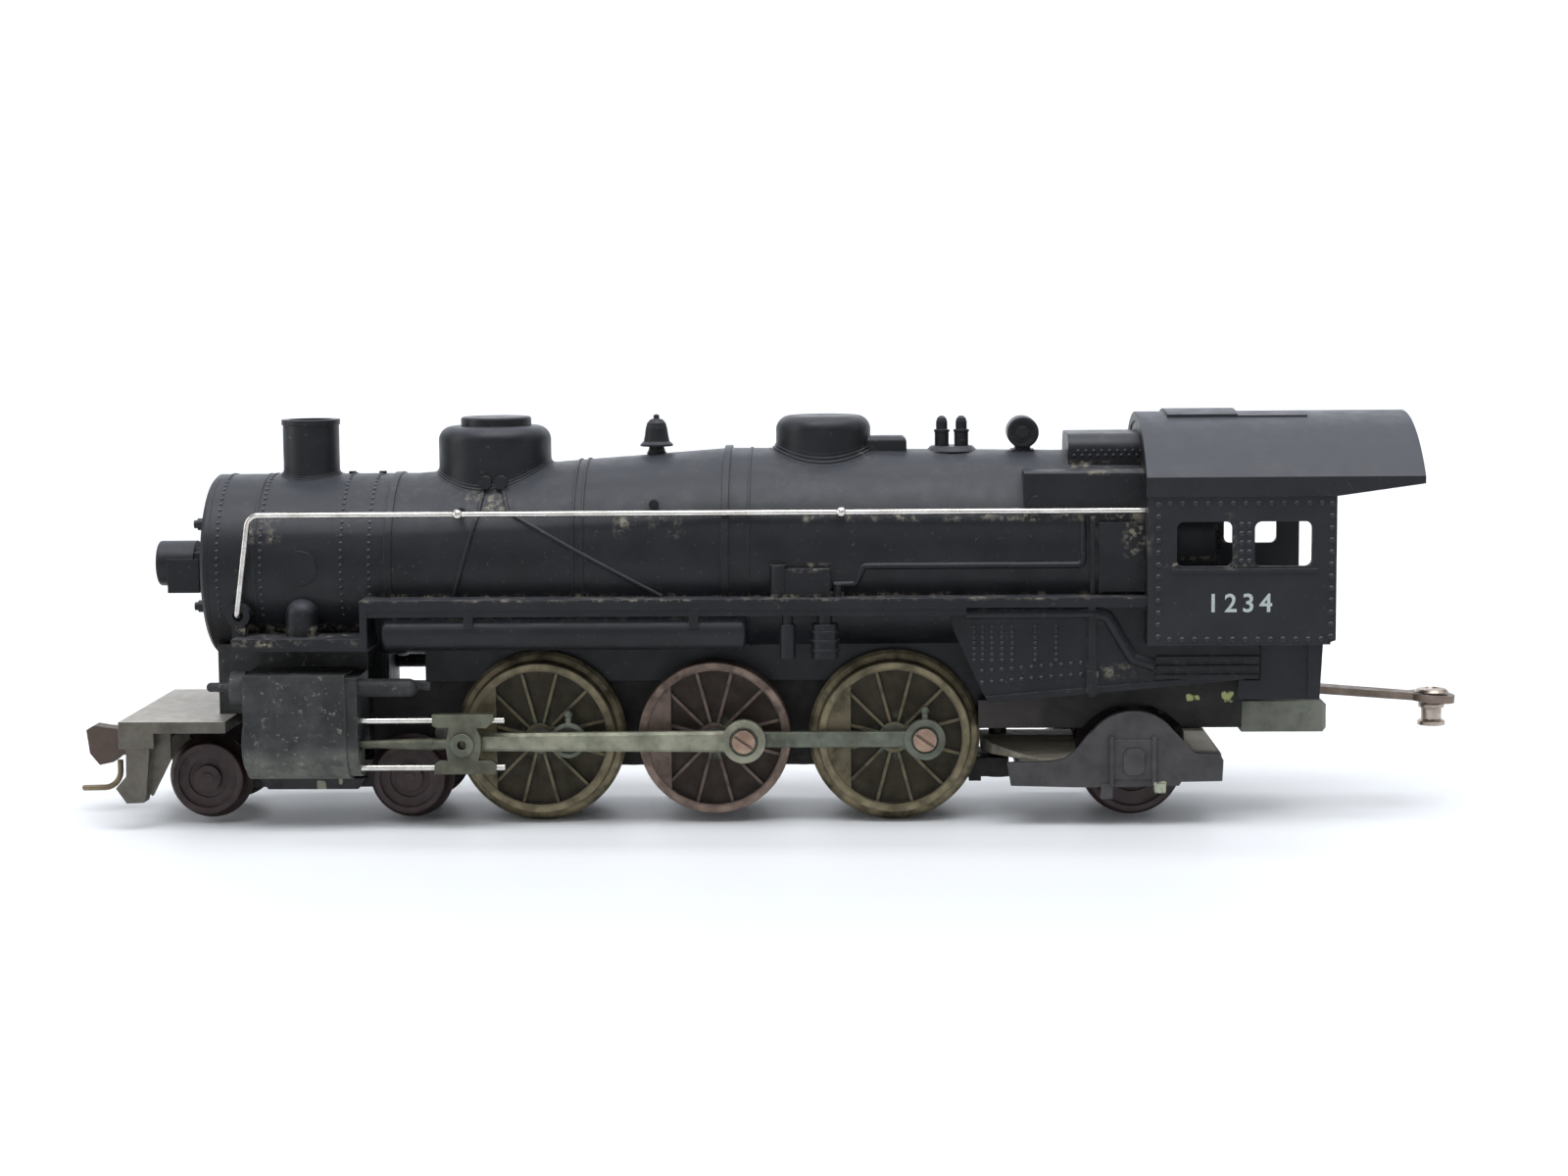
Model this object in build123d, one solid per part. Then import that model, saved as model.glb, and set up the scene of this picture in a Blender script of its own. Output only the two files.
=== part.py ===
"""Model steam locomotive, 4-6-2, HO scale (1:87.1) for 16.5 mm track.

Millimetres, +Z up. The engine faces -X, so its left side is -Y.
Everything is laid out from the middle driving axle at X = 0. On writing, the whole model is
moved by CENTRE_SHIFT, so that its origin lies under the middle of its length at wheel-bottom level.
"""
from build123d import *
from math import asin, cos, degrees, radians, sin, sqrt, tan
import os

# ------------------------------------------------------------------ driving dimensions
FRONT_REACH = 86.9          # main axle to the tip of the front coupler's trip pin
REAR_REACH = 98.7           # main axle to the end of the drawbar
CENTRE_SHIFT = (FRONT_REACH - REAR_REACH) / 2

DRIVER_TREAD_R = 10.05      # 69 inch driving wheels at 1:87.1
DRIVER_FLANGE_R = 11.3
PILOT_TREAD_R = 4.8
PILOT_FLANGE_R = 5.6
TRAILING_TREAD_R = 6.1
TRAILING_FLANGE_R = 6.75
WHEEL_INNER_Y = 7.2         # half of the 14.4 mm back-to-back distance
WHEEL_WIDTH = 3.0
FLANGE_WIDTH = 0.9

AXLE_1_X = -23.1
AXLE_2_X = 0.0
AXLE_3_X = 23.65
PILOT_AXLE_X = (-67.4, -40.5)
PILOT_AXLE_Z = 6.05         # every tread stands on the same rail height
TRAILING_AXLE_X = 54.8
TRAILING_AXLE_Z = 7.35
AXLE_Z = DRIVER_FLANGE_R
DRIVER_AXLE_R = 1.5
SMALL_AXLE_R = 0.75
RUNNING_FIT = 0.05          # radial clearance of a turning fit

CRANK_R = 4.0               # half of the piston stroke
RIGHT_CRANK_TURN = 90.0     # the right side leads the left by a quarter turn
MAIN_ROD_LENGTH = 36.6
STROKE_MIDDLE_X = AXLE_2_X - MAIN_ROD_LENGTH
CRANK_PIN_R = 0.9
SIDE_ROD_Y = (11.2, 12.2)   # layer of the side rod, measured out from the centre line
MAIN_ROD_Y = (12.5, 13.7)
MOTION_Y = 14.5             # centre of the crossheads, guides and piston rods
GUIDE_OFFSET_Z = 3.1        # guides above and below the piston rod
GUIDE_R = 0.42
PISTON_ROD_R = 0.45
PISTON_NECK_R = 0.8         # at the crosshead, where the rod has thickened

CYLINDER_FRONT_X = -60.9
CYLINDER_BACK_X = -46.05
CYLINDER_OUTER_Y = 17.0
CYLINDER_TOP_Z = 20.7
BARREL_R = 4.9
SADDLE_HALF_Y = 8.0

DECK_FRONT_X = -77.8
DECK_BACK_X = -63.7
DECK_TOP_Z = 14.4
DECK_THICK = 1.5
DECK_HALF_Y = 15.1

# boiler stations: X, radius and centre height
FRONT_RING = (-66.1, 12.2, 33.6)
TAPER_START = (-40.0, 12.2, 33.6)
TAPER_END = (2.0, 13.7, 35.2)
BARREL_END = (56.1, 13.3, 34.9)
SHELL_WALL = 1.6

# bands round the boiler: where each starts, how wide it is and how far it is raised
BOILER_BANDS = ((-60.2, 0.4, 0.1), (-42.9, 0.95, 0.22), (-18.25, 0.3, 0.2), (-17.05, 0.3, 0.2),
                (1.35, 0.9, 0.4), (4.7, 0.3, 0.15))

HEADLIGHT_Z = 33.8
STACK_X = -54.4
SAND_DOME_X = -29.6
BELL_X = -7.9
BELL_SEAT_Z = 48.4
STEAM_DOME_X = 14.4
VALVE_X = (30.2, 32.8)
VALVE_SEAT_Z = 49.0
GENERATOR_X = 40.9

BOARD_TOP_Z = 30.3
BOARD_THICK = 1.25
UNDER_BOARD_Z = BOARD_TOP_Z - BOARD_THICK
TANK_R = 2.35                # long air reservoir under the running board
TANK_Y = 13.7
TANK_Z = 25.85
BOARD_HALF_Y = 16.3
BOARD_FRONT_X = -45.5
PLATFORM_TOP_Z = 25.3
PLATFORM_FRONT_X = -62.4
PLATFORM_THICK = 1.6

FIREBOX_HALF_Y = 14.0
SKIRT_HALF_Y = 6.6

CAB_FRONT_X = 56.1
CAB_BACK_X = 80.1
CAB_HALF_Y = 16.75
CAB_WALL = 1.0
CAB_BOTTOM_Z = 24.1
EAVE_Z = 43.2
ROOF_HALF_Y = 17.1
ROOF_SPRING_Z = 46.1        # where the roof's side turns into its arch
ROOF_TOP_Z = 53.35
ROOF_BACK_X = 91.2
ROOF_THICK = 1.2

HANDRAIL_Z = 41.25
HANDRAIL_Y = 13.4
HANDRAIL_R = 0.38
EYE_R = 1.55                # ring on the smokebox that the rail's foot is bent into
EYE_HOLE_R = 0.7
HANDRAIL_FOOT = (-62.1, 28.05)
HANDRAIL_BEND_X = -60.3
STANCHION_X = (-32.9, 16.9)

FRAME_HALF_Y = 5.0
FRAME_TOP_Z = 18.2
REAR_PLATE_Y = (8.3, 9.8)   # side plates of the rear frame, either side of the motor
REAR_PLATE_BOTTOM_Z = 12.4
TAIL_TOP_Z = 15.2
MOTOR_Z = 19.5              # height of the armature shaft
MOTOR_X = (43.0, 60.0)
ARMATURE_R = 5.0
WORM_TEETH = 30
GEAR_TIP_R = 6.1

PILOT_PIVOT_X = -54.0
TRAILING_PIVOT_X = 37.6
DRAWBAR_PIVOT_X = 72.0
DRAWBAR_TILT = 4.5          # degrees, down towards the tender
DRAWBAR_PIVOT_Z = 16.75
DRAWBAR_HALF_THICK = 0.5
SPOOL_X = 95.6
SPOOL_WAIST_R = 1.35
COUPLER_PIVOT_X = -73.8
COUPLER_Z = 9.4


# ------------------------------------------------------------------ helpers
def block(x0, x1, y0, y1, z0, z1):
    """Box between two corners."""
    return Pos((x0 + x1) / 2, (y0 + y1) / 2, (z0 + z1) / 2) * Box(x1 - x0, y1 - y0, z1 - z0)


def rod_x(x0, x1, y, z, r):
    return Pos((x0 + x1) / 2, y, z) * Rot(0, 90, 0) * Cylinder(r, x1 - x0)


def rod_y(y0, y1, x, z, r):
    return Pos(x, (y0 + y1) / 2, z) * Rot(90, 0, 0) * Cylinder(r, y1 - y0)


def rod_z(z0, z1, x, y, r):
    return Pos(x, y, (z0 + z1) / 2) * Cylinder(r, z1 - z0)


def slab(outline, y0, y1):
    """Outline of (x, z) points extruded from y0 to y1."""
    face = make_face(Polyline(*[(x, y0, z) for x, z in outline], close=True))
    return extrude(face, amount=y1 - y0, dir=(0, 1, 0))


def plan(outline, z0, z1):
    """Outline of (x, y) points extruded from z0 to z1."""
    face = make_face(Polyline(*[(x, y, z0) for x, y in outline], close=True))
    return extrude(face, amount=z1 - z0, dir=(0, 0, 1))


def turned(profile, x=0.0, y=0.0, z=0.0):
    """Profile of (radius, height) points turned about a vertical axis through x, y."""
    face = make_face(Polyline(*[(r, 0, h) for r, h in profile], close=True))
    return Pos(x, y, z) * revolve(face, Axis.Z)


def ball(x, y, z, r):
    return Pos(x, y, z) * Sphere(r)


def along(line, r):
    """Round wire along a path."""
    return sweep(Plane(origin=line @ 0, z_dir=line % 0) * Circle(r), path=line)


def bent_wire(points, r, bend):
    """Round wire through points, with its corners bent to a radius."""
    return along(FilletPolyline(*points, radius=bend), r)


def other_side(shape):
    return mirror(shape, about=Plane.XZ)


def both_sides(shape):
    return shape + other_side(shape)


def group(shapes):
    """Separate solids that share one node."""
    return Compound(list(shapes))


def write(name, shape):
    solids = shape.solids()
    shape = solids[0] if len(solids) == 1 else Compound(list(solids))
    export_step(Pos(CENTRE_SHIFT, 0, 0) * shape, f"parts/{name}.step")


# ------------------------------------------------------------------ boiler shell
def boiler_at(x):
    """Radius and centre height of the boiler's outside at x."""
    stations = (FRONT_RING, TAPER_START, TAPER_END, BARREL_END)
    for (xa, ra, za), (xb, rb, zb) in zip(stations, stations[1:]):
        if x <= xb:
            t = (x - xa) / (xb - xa)
            return ra + t * (rb - ra), za + t * (zb - za)
    return BARREL_END[1], BARREL_END[2]


def boiler_side(x, z):
    """How far out the boiler's skin is at x and height z."""
    r, centre = boiler_at(x)
    return sqrt(r * r - (z - centre) ** 2)


def ring_section(x, extra):
    r, z = boiler_at(x)
    return Plane(origin=(x, 0, z), x_dir=(0, 1, 0), z_dir=(1, 0, 0)) * Circle(r + extra)


def barrel(x0, x1, extra=0.0):
    """Length of boiler between two stations, grown or shrunk by extra."""
    cuts = [x0] + [s[0] for s in (TAPER_START, TAPER_END) if x0 < s[0] < x1] + [x1]
    shape = None
    for a, b in zip(cuts, cuts[1:]):
        piece = loft([ring_section(a, extra), ring_section(b, extra)])
        shape = piece if shape is None else shape + piece
    return shape


def dome(x, r, base_z, top_z, shoulder):
    """Round dome casing with a rounded top edge."""
    body = rod_z(base_z, top_z, x, 0, r)
    return fillet(body.edges().sort_by(Axis.Z)[-1], shoulder)


def surface_pipe(x0, z0, x1, z1, r, steps):
    """Pipe laid over the left skin of the boiler between two places."""
    points = []
    for i in range(steps + 1):
        t = i / steps
        x, z = x0 + t * (x1 - x0), z0 + t * (z1 - z0)
        points.append((x, -boiler_side(x, z) - 0.05, z))
    return along(Spline(*points), r)


def saddle(x, r, reach, height):
    """Low flared foot around a chimney or dome, following the boiler's skin in small steps."""
    foot = None
    steps = 4
    for i in range(steps):
        t = (i + 0.5) / steps
        layer = rod_z(38.0, 54.0, x, 0, r + reach * (1 - t) ** 2) & barrel(x - r - 3, x + r + 3, height * t ** 1.5)
        foot = layer if foot is None else foot + layer
    return foot


def chimney():
    stack = rod_z(42.0, 53.1, STACK_X, 0, 3.75) + rod_z(52.4, 53.1, STACK_X, 0, 3.9)
    return stack + saddle(STACK_X, 3.75, 0.9, 0.8)


def dome_set():
    sand = dome(SAND_DOME_X, 7.5, 40.0, 52.1, 1.9) + saddle(SAND_DOME_X, 7.5, 0.8, 0.9)
    hatch = dome(SAND_DOME_X + 0.2, 4.7, 51.0, 53.3, 0.35)
    steam = dome(STEAM_DOME_X, 6.3, 42.0, 53.2, 1.9) + saddle(STEAM_DOME_X, 6.3, 1.2, 1.3)
    cover = fillet(block(19.5, 25.5, -2.4, 2.4, 47.5, 50.4).edges().group_by(Axis.Z)[-1], 0.9)
    valves = rod_y(6.9, 8.5, -29.95, 45.0, 0.85) + rod_y(6.9, 8.5, -27.9, 45.0, 0.85)
    return sand + hatch + steam + cover + both_sides(valves)


def roof_line_bosses():
    """Raised seats for the bell, the safety valves and the generator, and the turret casing."""
    seats = turned([(0, 0), (3.5, 0), (2.8, 0.7), (0, 0.7)], sum(VALVE_X) / 2, 0, VALVE_SEAT_Z - 0.7)
    seats += rod_z(46.0, BELL_SEAT_Z, BELL_X, 0, 1.3)
    seats += block(GENERATOR_X - 1.5, GENERATOR_X + 1.5, -2.2, 2.2, 46.5, 48.5)
    turret = block(46.6, CAB_FRONT_X, -6.4, 6.4, 44.0, 50.75)
    turret = fillet(turret.edges().filter_by(Axis.X).group_by(Axis.Z)[-1], 2.4)
    for x in (-48.9, -44.8):
        seats += rod_z(44.0, 46.1, x, 0, 0.5)
    return seats + turret


def boiler_bands():
    bands = None
    for start, width, raised in BOILER_BANDS:
        band = barrel(start, start + width, raised)
        bands = band if bands is None else bands + band
    return bands


def shoulders():
    """Flat-sided shoulders of the firebox ahead of the cab."""
    box = block(40.5, CAB_FRONT_X, -12.6, 12.6, 32.0, 46.3)
    box = fillet(box.edges().filter_by(Axis.X).group_by(Axis.Z)[-1], 0.5)
    return box + both_sides(rod_y(12.3, 12.95, 42.0, 42.4, 0.75))


def running_gear_side():
    """Right-hand running board, front platform, reservoir and pumps."""
    board = block(BOARD_FRONT_X, CAB_FRONT_X, 9.0, BOARD_HALF_Y, UNDER_BOARD_Z, BOARD_TOP_Z)
    riser = block(BOARD_FRONT_X, BOARD_FRONT_X + 0.9, 8.0, BOARD_HALF_Y, PLATFORM_TOP_Z - 1.6, BOARD_TOP_Z)
    platform = block(PLATFORM_FRONT_X, BOARD_FRONT_X + 0.5, 4.0, 16.0,
                     PLATFORM_TOP_Z - PLATFORM_THICK, PLATFORM_TOP_Z)
    angle = block(BOARD_FRONT_X + 0.5, 33.0, 9.0, BOARD_HALF_Y - 0.2, UNDER_BOARD_Z - 0.95, UNDER_BOARD_Z + 0.2)
    tank = fillet(rod_x(-42.9, 4.5, TANK_Y, TANK_Z, TANK_R).edges(), 0.7)
    side = board + riser + platform + angle + tank + handrail_posts()
    top = UNDER_BOARD_Z + 0.3
    for x in (-31.4, -2.2):
        side += block(x - 0.6, x + 0.6, TANK_Y - 1.3, TANK_Y + TANK_R + 0.1, TANK_Z + 0.7, top)
    side += rod_z(22.5, 26.9, 9.9, 15.0, 1.05) + rod_z(26.5, top, 9.9, 15.0, 0.7)
    side += rod_z(22.5, 26.9, 14.7, 14.6, 1.75) + rod_z(26.5, top, 14.7, 14.6, 1.0)
    for z in (23.4, 24.6, 25.8):
        side += rod_z(z, z + 0.3, 14.7, 14.6, 1.95)
    pump = block(9.4, 15.4, 11.0, 14.6, top, 34.0) + rod_z(top, 34.5, 8.75, 13.9, 1.15)
    pump += rod_z(top, 31.9, 16.4, 13.6, 0.55) + block(15.0, 17.2, 12.6, 13.8, top, 30.9)
    side += rod_y(10.6, 11.9, -7.5, 42.3, 0.6)
    return side + pump


def steam_pipe():
    """Right-hand outside steam pipe, standing on the platform against the smokebox."""
    return rod_z(PLATFORM_TOP_Z - 0.5, 28.0, -53.9, 11.6, 2.15) + ball(-53.9, 11.6, 28.0, 2.15)


def left_side_pipes():
    """Air pipes from the dome down to the running board, and the feed pipe above the firebox."""
    pipes = surface_pipe(-26.6, 41.2, -6.6, 30.35, 0.28, 5) + surface_pipe(-30.7, 40.8, -33.7, 30.5, 0.28, 3)
    pipes += surface_pipe(-27.7, 44.3, -26.6, 41.0, 0.28, 2) + surface_pipe(-30.1, 44.3, -30.7, 40.6, 0.28, 2)
    pipes += surface_pipe(21.5, 34.25, 38.9, 34.25, 0.42, 3)
    pipes += bent_wire([(15.9, -13.2, 31.8), (18.7, -13.4, 31.9), (19.8, -13.75, 34.25), (22.0, -13.72, 34.25)],
                       0.42, 0.5)
    pipes += bent_wire([(38.5, -13.66, 34.25), (48.1, -13.45, 34.25), (48.1, -13.42, 35.9)], 0.42, 0.8)
    return pipes + surface_pipe(48.1, 35.7, 48.1, 40.9, 0.42, 3)


def firebox_ribs():
    """Left-hand upright rib and the raised panel behind it, on the firebox side ahead of the cab."""
    rib = block(49.0, 49.6, -13.65, -12.6, BOARD_TOP_Z - 0.3, 40.6)
    panel = block(50.1, CAB_FRONT_X, -13.5, -12.6, BOARD_TOP_Z + 0.4, 39.7)
    return rib + panel


def firebox_body():
    top = UNDER_BOARD_Z + 0.3
    outline = [(31.0, top), (31.2, 26.3), (35.0, 17.9), (35.9, 16.4), (70.8, 19.5), (70.8, CAB_BOTTOM_Z),
               (CAB_FRONT_X, CAB_BOTTOM_Z), (CAB_FRONT_X, top)]
    body = slab(outline, -FIREBOX_HALF_Y, FIREBOX_HALF_Y)
    edge = slab([(35.9, 16.4), (62.0, 18.72), (62.0, 19.52), (35.4, 17.2)], FIREBOX_HALF_Y - 0.1,
                FIREBOX_HALF_Y + 0.35)
    rib = slab([(48.7, 17.2), (49.7, 17.2), (49.7, top), (48.7, top)], FIREBOX_HALF_Y - 0.1, FIREBOX_HALF_Y + 0.75)
    rib += block(48.45, 50.0, FIREBOX_HALF_Y - 0.1, FIREBOX_HALF_Y + 0.95, 17.6, 20.6)
    for z in (19.45, 20.65, 21.85):
        edge += block(57.4, 70.7, FIREBOX_HALF_Y - 0.1, FIREBOX_HALF_Y + 0.45, z, z + 0.55)
    injector = bent_wire([(49.6, 14.2, 28.05), (51.2, 14.3, 27.6), (54.4, 14.3, 22.2), (57.2, 14.1, 21.2)], 0.8, 0.9)
    injector += rod_x(32.9, 50.2, 14.1, 28.05, 0.72)
    return body + both_sides(edge + rib + injector)


def shell_hollow():
    """Space inside the shell for the weight, the motor and the frame."""
    hollow = barrel(FRONT_RING[0], BARREL_END[0], -SHELL_WALL)
    hollow += block(-37.0, 37.0, -5.4, 5.4, 17.0, 30.0)
    hollow += slab([(33.6, 28.6), (33.6, 24.5), (36.6, 17.8), (37.2, 14.0), (72.0, 14.0), (72.0, 25.0),
                    (58.0, 25.0), (58.0, 28.6)], -12.6, 12.6)
    hollow += block(38.0, 58.0, -10.5, 10.5, 28.0, 38.0)
    return hollow + rod_z(47.5, 54.0, STACK_X, 0, 2.95)


def boiler_shell():
    shape = barrel(FRONT_RING[0], BARREL_END[0])
    shape += boiler_bands() + chimney() + dome_set() + roof_line_bosses() + shoulders()
    shape += block(-38.6, 32.0, -SKIRT_HALF_Y, SKIRT_HALF_Y, 18.4, 26.0)
    shape += both_sides(block(30.5, 36.2, 5.5, SKIRT_HALF_Y, 15.2, 26.0))
    shape += firebox_body() + both_sides(running_gear_side()) + both_sides(steam_pipe())
    shape += both_sides(rod_y(11.0, 12.35, -54.0, 34.15, 2.3)) + left_side_pipes() + firebox_ribs()
    return shape - shell_hollow()


def smokebox_front():
    """Front ring and the round door with its hinges and clamping dogs."""
    x, r, z = FRONT_RING
    ring = chamfer(rod_x(x - 1.1, x, 0, z, r).edges().sort_by(Axis.X)[0], 0.45)
    door = turned([(0, 0), (9.4, 0), (9.4, 0.45), (7.0, 0.95), (3.0, 1.3), (0, 1.35)])
    shape = ring + Pos(x - 1.1 + 0.02, 0, z) * Rot(0, -90, 0) * door
    for angle in (25, 145, 205, 325):
        turn = radians(angle)
        y, height = 10.8 * cos(turn), z + 10.8 * sin(turn)
        shape += rod_x(x - 2.3, x - 0.6, y, height, 0.55) + rod_x(x - 1.8, x - 0.6, y, height, 0.8)
    for offset in (-3.4, 3.4):
        shape += block(x - 2.0, x - 1.0, 3.0, 10.6, z + offset - 0.45, z + offset + 0.45)
    return shape + rod_z(z - 4.6, z + 4.6, x - 1.7, 10.4, 0.45)


def headlight():
    z = HEADLIGHT_Z
    drum = fillet(rod_x(-75.35, -70.2, 0, z, 3.05).edges().sort_by(Axis.X)[0], 0.35)
    panels = block(-73.7, -69.4, -3.15, 3.15, 30.05, 34.6)
    back = block(-70.6, -68.2, -2.4, 2.4, 30.4, 35.4)
    return drum + panels + back - rod_x(-75.5, -74.65, 0, z, 2.4) - door_space()


def door_space():
    """Space taken by the smokebox door behind the headlight's bracket."""
    x, r, z = FRONT_RING
    door = turned([(0, -2), (9.4, -2), (9.4, 0.45), (7.0, 0.95), (3.0, 1.3), (0, 1.35)])
    return Pos(x - 1.1 + 0.02, 0, z) * Rot(0, -90, 0) * door


def headlight_lens():
    lens = turned([(0, 0), (2.38, 0), (2.38, 0.35), (1.4, 0.6), (0, 0.68)])
    return Pos(-74.65, 0, HEADLIGHT_Z) * Rot(0, -90, 0) * lens


def bell():
    profile = [(0, 0), (1.2, 0), (1.0, 0.7), (2.2, 0.8), (2.2, 1.05), (1.75, 1.45), (1.6, 2.2), (1.45, 3.2),
               (1.25, 3.9), (0.85, 4.35), (0.4, 4.5), (0.4, 4.9), (0.2, 5.05), (0, 5.05)]
    return turned(profile, BELL_X, 0, BELL_SEAT_Z)


def safety_valves():
    profile = [(0, 0), (0.95, 0), (0.95, 1.8), (1.05, 1.85), (1.05, 2.15), (0.76, 2.2), (0.76, 3.2), (0.62, 3.65),
               (0.3, 3.95), (0, 4.0)]
    return group(turned(profile, x, 0, VALVE_SEAT_Z) for x in VALVE_X)


def generator():
    """Turbo generator: a drum lying across the boiler on a small foot."""
    drum = fillet(rod_y(-2.6, 2.6, GENERATOR_X, 50.8, 2.1).edges(), 0.3)
    drum -= both_sides(rod_y(2.3, 3, GENERATOR_X, 50.8, 1.5))
    hub = rod_y(-2.8, 2.8, GENERATOR_X, 50.8, 0.8)
    return drum + hub + block(GENERATOR_X - 1.0, GENERATOR_X + 1.0, -1.8, 1.8, 48.5, 50.0)


def handrail():
    """Right-hand rail: out of its ring on the smokebox, up, bent, and back to the cab."""
    foot_x, foot_z = HANDRAIL_FOOT
    slope = (HANDRAIL_BEND_X - foot_x) / (HANDRAIL_Z - foot_z)
    above = (foot_x + 3.0 * slope, HANDRAIL_Y, foot_z + 3.0)
    hook = bent_wire([(foot_x, HANDRAIL_Y - 1.3, foot_z), (foot_x, HANDRAIL_Y, foot_z), above], HANDRAIL_R, 0.5)
    start = (foot_x + 2.5 * slope, HANDRAIL_Y, foot_z + 2.5)
    bend = (HANDRAIL_BEND_X, HANDRAIL_Y, HANDRAIL_Z)
    return hook + bent_wire([start, bend, (CAB_FRONT_X, HANDRAIL_Y, HANDRAIL_Z)], HANDRAIL_R, 1.6)


def handrail_posts():
    """Right-hand seats on the shell: two stanchion bosses and the ring at the rail's foot."""
    face_y = HANDRAIL_Y - HANDRAIL_R - 0.05
    seats = rod_y(10.5, face_y, *HANDRAIL_FOOT, EYE_R)
    seats += block(-62.9, -61.2, 10.8, face_y - 0.1, 24.0, 27.2)
    seats -= rod_y(11.6, 14.0, *HANDRAIL_FOOT, EYE_HOLE_R)
    for x in STANCHION_X:
        skin = boiler_side(x, HANDRAIL_Z)
        seats += rod_y(skin - 0.7, skin + 0.3, x, HANDRAIL_Z, 0.6)
    return seats


def stanchions():
    """Turned posts with a ball that the rail passes through."""
    posts = []
    for x in STANCHION_X:
        start = boiler_side(x, HANDRAIL_Z) + 0.3
        knob = Pos(x, HANDRAIL_Y, HANDRAIL_Z) * Rot(90, 0, 0) * Sphere(0.72)
        post = rod_y(start, HANDRAIL_Y - 0.5, x, HANDRAIL_Z, 0.35) + knob
        posts.append(post - rod_x(x - 2, x + 2, HANDRAIL_Y, HANDRAIL_Z, HANDRAIL_R + 0.02))
    return group(posts + [other_side(post) for post in posts])


def boiler_weight():
    """Cast weight in the front of the boiler, standing on the frame."""
    return rod_x(-58.0, -8.0, 0, FRONT_RING[2], 10.2) + block(-36.0, -10.0, -4.8, 4.8, FRAME_TOP_Z, 26.0)


# ------------------------------------------------------------------ cab
def roof_arch(inset, bottom_z):
    """Solid under the roof's arch down to bottom_z, as long as the roof."""
    rise = ROOF_TOP_Z - ROOF_SPRING_Z
    spring = ROOF_HALF_Y - 0.35
    radius = (spring ** 2 + rise ** 2) / (2 * rise)
    tube = rod_x(CAB_FRONT_X - 0.2, ROOF_BACK_X, 0, ROOF_TOP_Z - radius, radius - inset)
    sides = block(CAB_FRONT_X - 0.2, ROOF_BACK_X, -ROOF_HALF_Y + inset, ROOF_HALF_Y - inset, bottom_z, ROOF_TOP_Z)
    return tube & sides


def roof_hatch():
    rise = ROOF_TOP_Z - ROOF_SPRING_Z
    spring = ROOF_HALF_Y - 0.35
    radius = (spring ** 2 + rise ** 2) / (2 * rise)
    centre = ROOF_TOP_Z - radius
    plate = rod_x(59.6, 68.8, 0, centre, radius + 0.4) & block(59, 69, -5.2, 5.2, 50, 55)
    rails = rod_x(68.8, 77.9, 0, centre, radius + 0.22) & (
        block(68, 79, -5.2, -4.7, 50, 55) + block(68, 79, 4.7, 5.2, 50, 55))
    return plate + rails


def cab_roof():
    roof = roof_arch(0.0, EAVE_Z) + roof_hatch() - roof_arch(ROOF_THICK, EAVE_Z - 1)
    visor = slab([(CAB_BACK_X - 0.2, EAVE_Z - 1), (CAB_BACK_X - 0.2, EAVE_Z), (ROOF_BACK_X + 1, 44.9),
                  (ROOF_BACK_X + 1, EAVE_Z - 1)], -20, 20)
    seam = both_sides(block(50, 95, ROOF_HALF_Y - 0.35, ROOF_HALF_Y + 1, 46.1, 46.42))
    return roof - visor - seam


def window(x0, x1, z0, z1, corner):
    hole = block(x0, x1, CAB_HALF_Y - 4, CAB_HALF_Y + 2, z0, z1)
    return fillet(hole.edges().filter_by(Axis.Y), corner)


def cab_side():
    """Right-hand cab side with two rounded windows, a sill and a seam strip."""
    outline = [(CAB_FRONT_X, CAB_BOTTOM_Z), (78.3, CAB_BOTTOM_Z), (CAB_BACK_X, CAB_BOTTOM_Z + 0.6),
               (CAB_BACK_X, EAVE_Z), (CAB_FRONT_X, EAVE_Z)]
    wall = slab(outline, CAB_HALF_Y - CAB_WALL, CAB_HALF_Y)
    wall += block(59.2, 77.7, CAB_HALF_Y - 0.2, CAB_HALF_Y + 0.3, 33.55, 33.95)
    return wall - window(59.8, 66.9, 34.25, 40.0, 0.9) - window(69.7, 77.0, 34.25, 40.0, 0.9)


def backhead():
    """Boiler's back end, standing in the cab behind the motor, with its fittings."""
    casing = block(60.6, 65.6, -9.0, 9.0, CAB_BOTTOM_Z, 42.0)
    casing = fillet(casing.edges().filter_by(Axis.X).group_by(Axis.Z)[-1], 4.0)
    for y, z, r in ((-4.5, 36.5, 1.1), (0.0, 38.0, 0.9), (4.5, 36.5, 1.1), (-2.2, 33.4, 0.8), (3.0, 33.0, 1.3)):
        casing += rod_x(65.4, 66.8, y, z, r)
    return casing


def cab_shell():
    front = block(CAB_FRONT_X, CAB_FRONT_X + CAB_WALL, -CAB_HALF_Y + 0.5, CAB_HALF_Y - 0.5, CAB_BOTTOM_Z, EAVE_Z)
    arch = roof_arch(ROOF_THICK, EAVE_Z - 0.01) & block(CAB_FRONT_X, CAB_FRONT_X + CAB_WALL, -20, 20, 40, 60)
    front = front + arch - block(50, 60, -9.0, 9.0, 20, 41.5)
    floor = block(64.6, CAB_BACK_X - 0.6, -CAB_HALF_Y + 0.5, CAB_HALF_Y - 0.5, CAB_BOTTOM_Z, CAB_BOTTOM_Z + 0.9)
    floor += backhead()
    top = CAB_BOTTOM_Z + 0.2
    apron = slab([(68.2, 16.6), (78.6, 16.6), (79.0, top), (71.0, top), (71.0, 19.1), (68.2, 19.1)], 12.0, 13.2)
    apron += slab([(77.1, 16.6), (78.6, 16.6), (79.0, top), (77.1, top)], 11.0, 13.6)
    return front + floor + both_sides(cab_side()) + both_sides(apron)


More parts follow.
